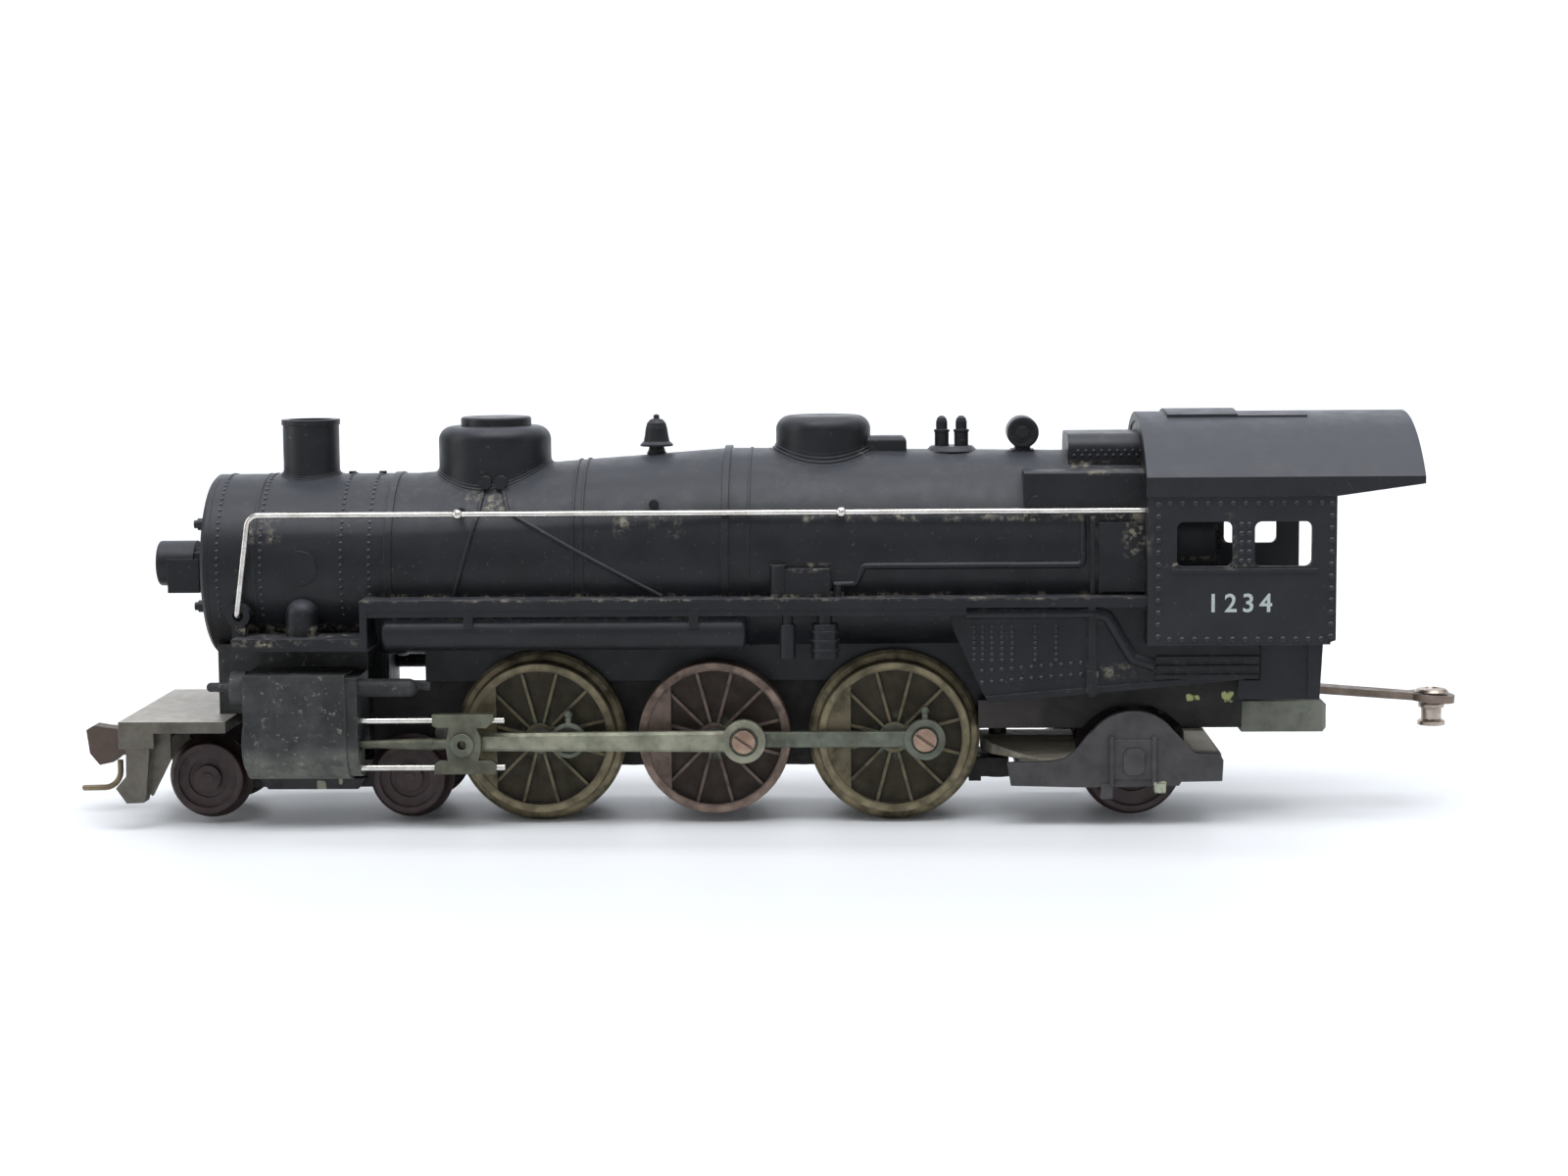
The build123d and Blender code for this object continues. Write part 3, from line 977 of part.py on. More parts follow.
# ------------------------------------------------------------------ write every node
def main():
    os.makedirs("parts", exist_ok=True)
    write("boiler_shell", boiler_shell())
    write("smokebox_front", smokebox_front())
    write("headlight", headlight())
    write("headlight_lens", headlight_lens())
    write("bell", bell())
    write("safety_valves", safety_valves())
    write("generator", generator())
    write("handrail_left", other_side(handrail()))
    write("handrail_right", handrail())
    write("handrail_stanchions", stanchions())
    write("boiler_weight", boiler_weight())
    write("cab_shell", cab_shell())
    write("cab_roof", cab_roof())
    write("main_frame", main_frame())
    write("bottom_plate", bottom_plate())
    write("tail_plate", tail_plate())
    write("cylinder_block", cylinder_block())
    write("guide_bars", guide_bars())
    write("pilot_deck", pilot_deck())
    write("coupler_lid", coupler_lid())
    write("frame_screws", frame_screws())
    write("pivot_screws", pivot_screws())
    write("frame_cross_pin", rod_y(-FRAME_HALF_Y - 0.1, FRAME_HALF_Y + 0.1, STROKE_MIDDLE_X, AXLE_Z, 1.2))

    for number, x in enumerate((AXLE_1_X, AXLE_2_X, AXLE_3_X), start=1):
        wheel = driving_wheel(flanged=number != 2)
        head_y = {1: SIDE_ROD_Y[1] - 0.33, 2: MAIN_ROD_Y[1] - 0.4, 3: SIDE_ROD_Y[1] + 0.08}[number]
        head = (1.35, 0.25) if number == 1 else (1.5, 0.75)
        pin = crank_pin(head_y, *head)
        for side in ("left", "right"):
            write(f"driver_{number}_wheel_{side}", placed(wheel, x, side))
        write(f"driver_{number}_axle", rod_y(-10.2, 10.2, x, AXLE_Z, DRIVER_AXLE_R))
        write(f"driver_{number}_crank_pins", group([placed(pin, x, "left"), placed(pin, x, "right")]))
    write("worm_gear", worm_gear())

    right_tilt = degrees(asin(CRANK_R / MAIN_ROD_LENGTH))
    for side in ("left", "right"):
        write(f"side_rod_{side}", placed_rod(side_rod(), side))
        write(f"main_rod_{side}", placed_rod(main_rod(), side, -right_tilt if side == "right" else 0.0))
        write(f"crosshead_{side}", on_stroke(crosshead(), side))
        write(f"wrist_pin_{side}", on_stroke(wrist_pin(), side))
        write(f"piston_rod_{side}", on_stroke(piston_rod(), side))

    write("motor_frame", motor_frame())
    write("motor_magnet", motor_magnet())
    write("motor_armature", motor_armature())
    write("pilot_truck_frame", pilot_truck_frame())
    write("pilot_truck_spring", pilot_truck_spring())
    write("pilot_front_wheelset", wheelset(PILOT_AXLE_X[0], PILOT_AXLE_Z, PILOT_TREAD_R, PILOT_FLANGE_R, 10.2))
    write("pilot_rear_wheelset", wheelset(PILOT_AXLE_X[1], PILOT_AXLE_Z, PILOT_TREAD_R, PILOT_FLANGE_R, 10.2))
    write("trailing_truck_frame", trailing_truck_frame())
    write("trailing_wheelset", wheelset(TRAILING_AXLE_X, TRAILING_AXLE_Z, TRAILING_TREAD_R, TRAILING_FLANGE_R, 12.7))
    write("drawbar", drawbar())
    write("drawbar_pin", drawbar_pin())
    write("coupler_head", coupler_head())
    write("coupler_knuckle", coupler_knuckle())
    write("trip_pin", trip_pin())


main()
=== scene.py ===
"""Looks of the model steam locomotive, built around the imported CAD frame.

All positions are metres in the row frame: the engine faces -X, its left side is -Y, and Z is 0 at the bottom
of the wheel flanges. Sizes written as MM times a number are millimetres.
"""
import math

import bpy
from mathutils import Matrix, Vector


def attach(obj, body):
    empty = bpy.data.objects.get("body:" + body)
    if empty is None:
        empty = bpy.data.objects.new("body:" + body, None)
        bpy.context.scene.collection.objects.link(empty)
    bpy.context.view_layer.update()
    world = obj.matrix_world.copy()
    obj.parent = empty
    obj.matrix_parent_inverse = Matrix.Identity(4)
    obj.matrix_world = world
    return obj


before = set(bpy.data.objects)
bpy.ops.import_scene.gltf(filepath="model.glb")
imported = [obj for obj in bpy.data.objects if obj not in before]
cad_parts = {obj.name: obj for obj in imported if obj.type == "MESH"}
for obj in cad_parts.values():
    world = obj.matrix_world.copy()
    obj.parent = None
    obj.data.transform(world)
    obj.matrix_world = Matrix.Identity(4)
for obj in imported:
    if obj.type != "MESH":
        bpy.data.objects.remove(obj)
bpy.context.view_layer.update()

MM = 0.001
SHIFT = -5.9                # row-frame X of the middle driving axle, in millimetres
AXLE_X = {1: -23.1, 2: 0.0, 3: 23.65}
AXLE_Z = 11.3


def at(x, y, z):
    """Point given in millimetres from the middle driving axle, in the row frame."""
    return Vector(((x + SHIFT) * MM, y * MM, z * MM))


# ------------------------------------------------------------------ node helpers
class Surface:
    """One procedural material, with short calls for the nodes that the recipes below share."""

    def __init__(self, name):
        self.material = bpy.data.materials.new(name)
        self.material.use_nodes = True
        self.tree = self.material.node_tree
        self.shader = self.tree.nodes["Principled BSDF"]
        self.place = self.node("ShaderNodeTexCoord").outputs["Object"]

    def node(self, kind, **settings):
        made = self.tree.nodes.new(kind)
        for key, value in settings.items():
            setattr(made, key, value)
        return made

    def link(self, source, target):
        self.tree.links.new(source, target)

    def feed(self, socket, value):
        """Link a socket to another node's output, or set its value."""
        if isinstance(value, bpy.types.NodeSocket):
            self.link(value, socket)
        else:
            socket.default_value = value

    def noise(self, scale, detail=4.0, rough=0.55, stretch=None, offset=0.0):
        """Cloudy pattern from 0 to 1, with scale in repeats per metre; an offset gives a different one."""
        node = self.node("ShaderNodeTexNoise")
        node.inputs["Scale"].default_value = scale
        node.inputs["Detail"].default_value = detail
        node.inputs["Roughness"].default_value = rough
        mapping = self.node("ShaderNodeMapping")
        mapping.inputs["Location"].default_value = (offset, offset * 0.7, offset * 0.3)
        mapping.inputs["Scale"].default_value = stretch or (1, 1, 1)
        self.link(self.place, mapping.inputs["Vector"])
        self.link(mapping.outputs["Vector"], node.inputs["Vector"])
        return node.outputs["Fac"]

    def step(self, value, low, high, out_low=0.0, out_high=1.0):
        """Smooth step of a value from low to high."""
        node = self.node("ShaderNodeMapRange", interpolation_type="SMOOTHSTEP")
        self.feed(node.inputs["Value"], value)
        for key, number in zip(("From Min", "From Max", "To Min", "To Max"), (low, high, out_low, out_high)):
            node.inputs[key].default_value = number
        return node.outputs["Result"]

    def math(self, operation, a, b=0.0):
        node = self.node("ShaderNodeMath", operation=operation)
        self.feed(node.inputs[0], a)
        self.feed(node.inputs[1], b)
        return node.outputs[0]

    def times(self, *values):
        """Product of sockets and numbers."""
        result = values[0]
        for value in values[1:]:
            result = self.math("MULTIPLY", result, value)
        return result

    def mix(self, share, a, b):
        """Colour between a at share 0 and b at share 1."""
        node = self.node("ShaderNodeMix", data_type="RGBA")
        self.feed(node.inputs["Factor"], share)
        for socket, value in ((node.inputs[6], a), (node.inputs[7], b)):
            if isinstance(value, tuple):
                value = (*value, 1.0)
            self.feed(socket, value)
        return node.outputs[2]

    def axis(self, source, name):
        """X, Y or Z of a vector."""
        node = self.node("ShaderNodeSeparateXYZ")
        self.link(source, node.inputs[0])
        return node.outputs[name]

    def crevice(self, distance):
        """1 deep in corners, 0 in the open."""
        node = self.node("ShaderNodeAmbientOcclusion", samples=6)
        node.inputs["Distance"].default_value = distance
        return self.math("SUBTRACT", 1.0, node.outputs["AO"])

    def edge(self, radius):
        """Two outputs: 1 along sharp edges and 0 on flats, and a normal that rounds the shading there."""
        bevel = self.node("ShaderNodeBevel", samples=4)
        bevel.inputs["Radius"].default_value = radius
        normal = self.node("ShaderNodeNewGeometry").outputs["Normal"]
        dot = self.node("ShaderNodeVectorMath", operation="DOT_PRODUCT")
        self.link(bevel.outputs[0], dot.inputs[0])
        self.link(normal, dot.inputs[1])
        return self.math("SUBTRACT", 1.0, dot.outputs["Value"]), bevel.outputs[0]

    def facing(self, name, low=0.35, high=0.95):
        """1 on faces that look along an axis."""
        normal = self.node("ShaderNodeNewGeometry").outputs["Normal"]
        return self.step(self.axis(normal, name), low, high)

    def zone(self, x0, x1, z0, z1, soft=0.6):
        """1 inside a box of X and Z, in millimetres from the middle driving axle, fading over soft."""
        inside = 1.0
        for name, low, high in (("X", x0 + SHIFT, x1 + SHIFT), ("Z", z0, z1)):
            value = self.axis(self.place, name)
            rising = self.step(value, (low - soft) * MM, (low + soft) * MM)
            falling = self.step(value, (high + soft) * MM, (high - soft) * MM)
            inside = self.times(inside, rising, falling)
        return inside

    def zones(self, boxes):
        """1 inside any of several boxes."""
        total = 0.0
        for box in boxes:
            total = self.math("MAXIMUM", total, self.zone(*box))
        return total

    def ragged(self, boxes):
        """1 inside any of several boxes, with torn edges."""
        rough = self.times(self.noise(700, 5, 0.65, offset=9.0), 0.8)
        torn = self.math("ADD", self.times(self.zones(boxes), 0.6), rough)
        return self.step(torn, 0.86, 0.96)

    def outward(self, distance):
        """1 farther than a distance from the engine's centre plane, in millimetres."""
        side = self.math("ABSOLUTE", self.axis(self.place, "Y"))
        return self.step(side, (distance - 0.1) * MM, (distance + 0.1) * MM)

    def bump(self, height, strength, depth, normal):
        node = self.node("ShaderNodeBump")
        node.inputs["Strength"].default_value = strength
        node.inputs["Distance"].default_value = depth
        self.link(height, node.inputs["Height"])
        self.link(normal, node.inputs["Normal"])
        return node.outputs[0]

    def finish(self, color, roughness, normal, metallic=0.0, specular=0.5):
        self.feed(self.shader.inputs["Base Color"], color)
        self.feed(self.shader.inputs["Roughness"], roughness)
        self.feed(self.shader.inputs["Metallic"], metallic)
        self.feed(self.shader.inputs["Specular IOR Level"], specular)
        self.link(normal, self.shader.inputs["Normal"])
        return self.material


DUST = (0.30, 0.27, 0.21)
VERDIGRIS = (0.17, 0.22, 0.16)
YELLOW_GREEN = (0.40, 0.42, 0.17)
TOP_DUST_AND_SHEEN = 3.7             # how much lighter than its shade the top of black plastic is painted: a film of dust, and painted sheen for the light from above
PLASTIC_SPECULAR = 0.28

# distances from the engine's centre plane, in millimetres
WHEEL_WEB_Y = 9.35          # a driving wheel's rim, spokes and boss stand farther out than this
SADDLE_Y = 8.2              # half width of the part of the cylinder casting whose back face is dull
TONGUE_Y = 11.8             # bare tongue of the trailing truck
ARM_Y = 12.2                # worn arm at the trailing truck's rear

# boxes of low X, high X, low Z, high Z and softness where dirt has built up on the shell and the cab
DIRTY = (
    (53.6, 56.3, 35.5, 41.0, 0.9),      # corner before the cab
    (46.5, 56.2, 45.9, 47.2, 0.3),      # foot of the turret
    (-61.0, -56.8, 37.6, 40.4, 0.6),    # below the handrail's front bend
    (-12.5, -4.0, 38.3, 40.9, 0.6),     # below the handrail's middle
    (-33.5, -25.5, 40.6, 43.6, 0.8),    # under the sand dome
    (12.0, 56.2, 40.0, 40.9, 0.3),      # below the handrail's rear half
    (-45.6, 56.2, 30.1, 30.7, 0.2),     # along the top of the running board
    (8.0, 15.6, 33.6, 34.6, 0.3),       # top of the pump
    (19.0, 21.5, 47.4, 49.0, 0.5),      # rear foot of the steam dome
    (-62.5, -45.8, 24.4, 26.6, 0.3),    # front platform
    (57.6, 77.0, 34.3, 34.8, 0.15),     # lower edges of the cab windows
    (65.8, 67.4, 34.0, 41.0, 0.4),      # rear edge of the front cab window
    (49.8, 55.8, 19.6, 21.2, 0.5),      # low on the firebox
)

# the same for pale corrosion on the trucks, and for yellow-green corrosion on the frame by the drawbar
TRUCK_SPOTS = ((57.2, 59.1, 4.2, 6.0, 0.4), (-53.8, -52.2, 3.6, 5.2, 0.4), (-50.8, -50.1, 4.4, 5.6, 0.3))
FRAME_SPOTS = ((61.6, 63.8, 15.7, 17.0, 0.5), (66.2, 68.2, 15.4, 17.4, 0.6))


def plastic(name, base, shade, gloss, dust):
    """Satin moulded plastic: mottling, grain, rubbed edges, tops painted lighter as dust and as sheen from
    the light above, dust patches on tops, dirt in corners.
    """
    s = Surface(name)
    blotch = s.step(s.noise(160, 5), 0.35, 0.7)
    color = s.mix(blotch, base, shade)
    # painted sheen with dust: faces that look up are made lighter, for the light from above
    color = s.mix(s.facing("Z", 0.1, 0.9), color, tuple(c * TOP_DUST_AND_SHEEN for c in shade))
    edge, normal = s.edge(0.16 * MM)
    rubbed = s.times(s.step(edge, 0.03, 0.25), s.step(s.noise(700, 3, offset=2.0), 0.35, 0.7), 0.5)
    color = s.mix(rubbed, color, tuple(min(1.0, c * 4 + 0.03) for c in base))
    specks = s.step(s.noise(1500, 6, 0.75, offset=4.0), 0.62, 0.7)
    patches = s.step(s.noise(95, 4, offset=7.0), 0.42, 0.68)
    corner = s.step(s.crevice(1.2 * MM), 0.35, 0.85)
    fine = s.step(s.noise(900, 6, 0.75, offset=9.0), 0.47, 0.62)
    built_up = s.times(s.zones(DIRTY), fine, s.step(s.noise(240, 4, offset=12.0), 0.38, 0.62), 0.75)
    on_tops = s.times(s.facing("Z"), patches, 0.2)
    settled = s.times(s.math("MAXIMUM", s.times(corner, 0.8), on_tops), fine, dust)
    cover = s.math("MAXIMUM", settled, built_up)
    color = s.mix(s.math("MAXIMUM", cover, s.times(specks, dust * 0.6)), color, DUST)
    rough = s.math("ADD", s.step(s.noise(420, 4, offset=3.0), 0.3, 0.7, gloss - 0.05, gloss + 0.07),
                   s.times(cover, 0.35))
    grain = s.math("ADD", s.noise(2600, 3, offset=5.0), s.times(s.noise(350, 3, offset=6.0), 1.2))
    grain = s.math("ADD", grain, s.times(cover, 1.5))
    return s.finish(color, rough, s.bump(grain, 0.25, 0.05 * MM, normal), specular=PLASTIC_SPECULAR)


def metal(name, base, dark, light, gloss, metallic, verdigris=0.0, grime_and_shade=0.5, stretch=None, top=None):
    """Tarnished metal: painted shade in the corners, where grime also dulls the shine, brighter on worn
    edges, with green corrosion in patches.

    Upward faces take the colour top where one is given, and stretch draws the grain out along an axis.
    """
    s = Surface(name)
    blotch = s.step(s.noise(300, 6, 0.62), 0.3, 0.72)
    color = s.mix(blotch, base, dark)
    if top:
        color = s.mix(s.facing("Z"), color, top)
    edge, normal = s.edge(0.14 * MM)
    rubbed = s.times(s.step(edge, 0.02, 0.2), s.step(s.noise(900, 4, offset=2.0), 0.3, 0.65), 0.7)
    color = s.mix(rubbed, color, light)
    corner = s.step(s.crevice(0.9 * MM), 0.15, 0.7)
    # painted shade: corners darkened towards near-black
    color = s.mix(s.times(corner, grime_and_shade), color, tuple(c * 0.3 for c in dark))
    green = s.times(s.step(s.noise(420, 6, 0.7, offset=11.0), 0.5, 0.66), verdigris)
    color = s.mix(green, color, VERDIGRIS)
    dull = s.math("MAXIMUM", green, s.times(corner, grime_and_shade))
    shine = s.math("SUBTRACT", metallic, s.times(dull, metallic * 0.8))
    rough = s.step(s.noise(800, 4, offset=3.0), 0.3, 0.7, gloss - 0.08, gloss + 0.12)
    height = s.math("ADD", s.noise(1600, 4, 0.6, stretch, 5.0), s.times(green, 0.8))
    return s.finish(color, rough, s.bump(height, 0.3, 0.04 * MM, normal), shine)


def wheel_metal(name, axle, hub_r, rim_r, base, dark, light):
    """Driving wheel: raised spokes, boss and rim painted lighter than the recessed web, painted shade at the
    spoke roots and in other corners, lighter rim and tread, green corrosion round the axle.
    """
    s = Surface(name)
    offset = s.node("ShaderNodeVectorMath", operation="SUBTRACT")
    s.link(s.place, offset.inputs[0])
    offset.inputs[1].default_value = tuple(axle)
    flat = s.node("ShaderNodeVectorMath", operation="MULTIPLY")
    s.link(offset.outputs[0], flat.inputs[0])
    flat.inputs[1].default_value = (1, 0, 1)
    length = s.node("ShaderNodeVectorMath", operation="LENGTH")
    s.link(flat.outputs[0], length.inputs[0])
    radius = length.outputs["Value"]
    blotch = s.step(s.noise(260, 6, 0.65), 0.3, 0.72)
    color = s.mix(blotch, base, dark)
    rim = s.step(radius, rim_r - 0.2 * MM, rim_r + 0.3 * MM)
    rim = s.times(rim, s.step(s.noise(380, 4, offset=1.0), 0.2, 0.7))
    # painted light: the raised spokes, boss and rim made lighter than the recessed web
    raised = s.times(s.outward(WHEEL_WEB_Y), s.step(s.noise(420, 4, offset=14.0), 0.2, 0.6))
    color = s.mix(s.times(s.math("MAXIMUM", rim, s.times(raised, 0.5)), 0.9), color, light)
    edge, normal = s.edge(0.12 * MM)
    worn = s.times(s.step(edge, 0.02, 0.18), s.step(s.noise(1000, 4, offset=2.0), 0.3, 0.6), 0.55)
    color = s.mix(worn, color, light)
    # painted shade: spoke roots and other corners darkened
    corner = s.step(s.crevice(0.8 * MM), 0.15, 0.75)
    color = s.mix(s.times(corner, 0.85), color, tuple(c * 0.3 for c in dark))
    hub = s.step(radius, hub_r + 1.5 * MM, hub_r)
    hub = s.times(hub, s.step(s.noise(600, 5, offset=8.0), 0.45, 0.62), 0.35)
    color = s.mix(hub, color, VERDIGRIS)
    rough = s.step(s.noise(700, 4, offset=3.0), 0.3, 0.7, 0.42, 0.6)
    grain = s.noise(2200, 4, 0.6, offset=5.0)
    shine = s.times(s.math("SUBTRACT", 1.0, corner), 0.7)
    return s.finish(color, rough, s.bump(grain, 0.35, 0.04 * MM, normal), shine)


def cylinder_paint(name):
    """Worn black paint over a grey casting: bare greenish metal low down, small bare chips, a dull back."""
    s = Surface(name)
    height = s.axis(s.place, "Z")
    blotch = s.step(s.noise(220, 6, 0.65), 0.35, 0.68)
    color = s.mix(blotch, (0.018, 0.019, 0.020), (0.040, 0.042, 0.043))
    low = s.step(s.math("ADD", height, s.times(s.noise(140, 3, offset=15.0), 3.0 * MM)), 13.2 * MM, 10.8 * MM)
    film = s.times(low, s.step(s.noise(260, 5, 0.65, offset=3.0), 0.2, 0.75))
    color = s.mix(s.times(film, 0.9), color, (0.155, 0.16, 0.135))
    chips = s.step(s.noise(900, 6, 0.75, offset=6.0), 0.58, 0.66)
    edge, normal = s.edge(0.16 * MM)
    bare = s.math("MAXIMUM", s.times(chips, 0.7), s.times(s.step(edge, 0.02, 0.2), 0.45))
    color = s.mix(bare, color, (0.21, 0.21, 0.18))
    # painted shade: corners darkened
    corner = s.step(s.crevice(1.0 * MM), 0.2, 0.75)
    color = s.mix(s.times(corner, 0.5), color, (0.02, 0.018, 0.015))
    rough = s.step(s.noise(800, 4, offset=5.0), 0.3, 0.7, 0.45, 0.65)
    grain = s.math("ADD", s.noise(1800, 4, 0.6, offset=5.0), s.times(bare, -0.5))
    back = s.times(s.facing("X", 0.8, 0.95), s.math("SUBTRACT", 1.0, s.outward(SADDLE_Y)))
    specular = s.times(s.math("SUBTRACT", 1.0, back), 0.3)
    rough = s.math("MAXIMUM", rough, back)
    return s.finish(color, rough, s.bump(grain, 0.4, 0.05 * MM, normal), s.times(bare, 0.35), specular)


def truck_paint(name):
    """Black paint on the trucks; the trailing truck's tongue is bare metal, with corroded lugs behind."""
    s = Surface(name)
    blotch = s.step(s.noise(300, 6, 0.62), 0.3, 0.72)
    color = s.mix(blotch, (0.062, 0.060, 0.063), (0.036, 0.035, 0.037))
    edge, normal = s.edge(0.16 * MM)
    worn = s.times(s.step(edge, 0.02, 0.2), s.step(s.noise(900, 4, offset=2.0), 0.35, 0.65), 0.6)
    color = s.mix(worn, color, (0.19, 0.185, 0.18))
    between = s.math("SUBTRACT", 1.0, s.outward(TONGUE_Y))
    tongue = s.times(s.zone(34.0, 48.2, 8.35, 12.0, 0.15), between)
    arm = s.times(s.zone(60.5, 67.0, 9.6, 13.0, 0.3), s.math("SUBTRACT", 1.0, s.outward(ARM_Y)))
    streaks = s.noise(260, 5, 0.6, (0.5, 3, 1), 8.0)
    zinc = s.mix(s.step(streaks, 0.3, 0.7), (0.50, 0.47, 0.39), (0.28, 0.26, 0.20))
    bare = s.math("MAXIMUM", s.times(tongue, s.step(streaks, 0.05, 0.45)), s.times(arm, 0.4))
    color = s.mix(bare, color, zinc)
    spots = s.ragged(TRUCK_SPOTS)
    color = s.mix(spots, color, (0.38, 0.40, 0.30))
    # painted shade: corners darkened almost to black
    corner = s.step(s.crevice(0.9 * MM), 0.15, 0.75)
    color = s.mix(s.times(corner, 0.6), color, (0.008, 0.007, 0.006))
    rough = s.step(s.noise(800, 4, offset=3.0), 0.3, 0.7, 0.48, 0.66)
    grain = s.math("ADD", s.noise(1600, 4, 0.6, offset=5.0), s.times(spots, 1.0))
    return s.finish(color, rough, s.bump(grain, 0.3, 0.04 * MM, normal), s.times(bare, 0.4), 0.35)


def frame_paint(name):
    """Dirty black frame with yellow-green corrosion by the drawbar."""
    s = Surface(name)
    blotch = s.step(s.noise(260, 6, 0.62), 0.3, 0.72)
    color = s.mix(blotch, (0.022, 0.020, 0.019), (0.012, 0.011, 0.0105))
    brown = s.times(s.zone(33.0, 43.0, 12.0, 17.0, 1.0), 0.6)
    color = s.mix(brown, color, (0.055, 0.045, 0.042))
    edge, normal = s.edge(0.16 * MM)
    color = s.mix(s.times(s.step(edge, 0.02, 0.2), 0.2), color, (0.08, 0.075, 0.065))
    spots = s.ragged(FRAME_SPOTS)
    color = s.mix(spots, color, YELLOW_GREEN)
    rough = s.step(s.noise(800, 4, offset=3.0), 0.3, 0.7, 0.52, 0.7)
    grain = s.math("ADD", s.noise(1600, 4, 0.6, offset=5.0), s.times(spots, 2.0))
    return s.finish(color, rough, s.bump(grain, 0.3, 0.04 * MM, normal), specular=0.3)


def simple(name, color, gloss, metallic=0.0, bump=0.1, mottle=0.35, scale=900):
    """Small piece: mottled colour, uneven gloss and a fine grain."""
    s = Surface(name)
    blotch = s.step(s.noise(scale, 4), 0.35, 0.7)
    mixed = s.mix(s.times(blotch, mottle), color, tuple(c * 0.45 for c in color))
    # painted shade: corners darkened
    corner = s.step(s.crevice(0.6 * MM), 0.2, 0.8)
    mixed = s.mix(s.times(corner, 0.5), mixed, tuple(c * 0.2 for c in color))
    rough = s.step(s.noise(scale * 1.7, 3, offset=3.0), 0.3, 0.7, gloss - 0.05, gloss + 0.08)
    normal = s.node("ShaderNodeNewGeometry").outputs["Normal"]
    grain = s.bump(s.noise(scale * 3, 3, offset=5.0), bump, 0.03 * MM, normal)
    return s.finish(mixed, rough, grain, metallic)


def paint(node, material):
    """Give a CAD node its material."""
    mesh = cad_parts[node].data
    mesh.materials.clear()
    mesh.materials.append(material)


BLACK = plastic("shell_black", (0.0075, 0.0080, 0.0100), (0.0118, 0.0126, 0.0155), 0.40, dust=0.45)
# painted light: the cab's copy of the shell black is lighter, for the light on its flat sides and roof
LIT_CAB_BLACK = plastic("cab_black_lit", (0.0125, 0.0132, 0.0160), (0.0165, 0.0175, 0.0212), 0.42, dust=0.3)
# painted highlight: the rivet heads take a lighter copy of the shell black, for the light they catch
LIT_RIVET_BLACK = plastic("rivet_black_lit", (0.017, 0.018, 0.022), (0.025, 0.0265, 0.032), 0.36, dust=0.3)
WIRE = metal("rail_wire", (0.74, 0.72, 0.69), (0.50, 0.47, 0.43), (0.93, 0.92, 0.90), 0.2, 1.0,
             grime_and_shade=0.15)
NICKEL = metal("nickel", (0.40, 0.28, 0.21), (0.24, 0.16, 0.12), (0.62, 0.50, 0.42), 0.32, 0.9, grime_and_shade=0.7)
DECK = metal("deck_zinc", (0.125, 0.112, 0.092), (0.07, 0.062, 0.05), (0.36, 0.35, 0.31), 0.45, 0.45,
             verdigris=0.15, top=(0.36, 0.335, 0.30))
TAIL = metal("tail_zinc", (0.19, 0.195, 0.16), (0.10, 0.105, 0.085), (0.40, 0.41, 0.36), 0.5, 0.4,
             verdigris=0.6)
ROD = metal("rod_zinc", (0.31, 0.31, 0.235), (0.14, 0.135, 0.10), (0.55, 0.55, 0.46), 0.42, 0.6,
            verdigris=0.35, stretch=(0.3, 2, 2))
SIDE_ROD = metal("side_rod_zinc", (0.15, 0.165, 0.13), (0.075, 0.08, 0.06), (0.32, 0.34, 0.28), 0.48, 0.5,
                 verdigris=0.3)
CROSSHEAD = metal("crosshead_zinc", (0.14, 0.145, 0.105), (0.06, 0.06, 0.043), (0.33, 0.33, 0.26), 0.5, 0.45,
                  verdigris=0.15, grime_and_shade=0.7)
TRUCK_WHEEL = metal("truck_wheel", (0.040, 0.021, 0.020), (0.020, 0.011, 0.011), (0.12, 0.09, 0.09), 0.42,
                    0.25)
STEEL = metal("axle_steel", (0.20, 0.19, 0.175), (0.10, 0.095, 0.085), (0.4, 0.4, 0.38), 0.42, 0.8)
DRAWBAR = metal("drawbar_metal", (0.25, 0.195, 0.16), (0.13, 0.10, 0.08), (0.45, 0.40, 0.35), 0.45, 0.7)
SPOOL = metal("spool_nickel", (0.55, 0.47, 0.41), (0.32, 0.26, 0.21), (0.78, 0.72, 0.66), 0.3, 0.9)
COUPLER = simple("coupler_brown", (0.075, 0.050, 0.038), 0.5, 0.1)
TRIP = metal("trip_wire", (0.25, 0.20, 0.13), (0.13, 0.10, 0.065), (0.45, 0.38, 0.28), 0.42, 0.8)
MOTOR = simple("motor_steel", (0.03, 0.029, 0.028), 0.55, 0.3)
MAGNET = simple("magnet_dark", (0.03, 0.03, 0.031), 0.6)
COPPER = simple("copper_winding", (0.20, 0.08, 0.04), 0.45, 0.5, bump=0.5, scale=2500)
BRASS = metal("gear_brass", (0.35, 0.25, 0.10), (0.2, 0.13, 0.05), (0.6, 0.45, 0.2), 0.35, 0.9)
LEAD = simple("weight_grey", (0.035, 0.035, 0.037), 0.6, 0.2)
GLASS = simple("lens_glass", (0.35, 0.34, 0.32), 0.15, 0.0, bump=0.02)
DARK_PIN = simple("pin_dark", (0.035, 0.03, 0.026), 0.5, 0.4)
CYLINDER = cylinder_paint("cylinder_worn")
TRUCK = truck_paint("truck_black")
FRAME = frame_paint("frame_black")
PRINT = simple("number_print", (0.42, 0.47, 0.47), 0.5, bump=0.2, mottle=0.3, scale=2500)

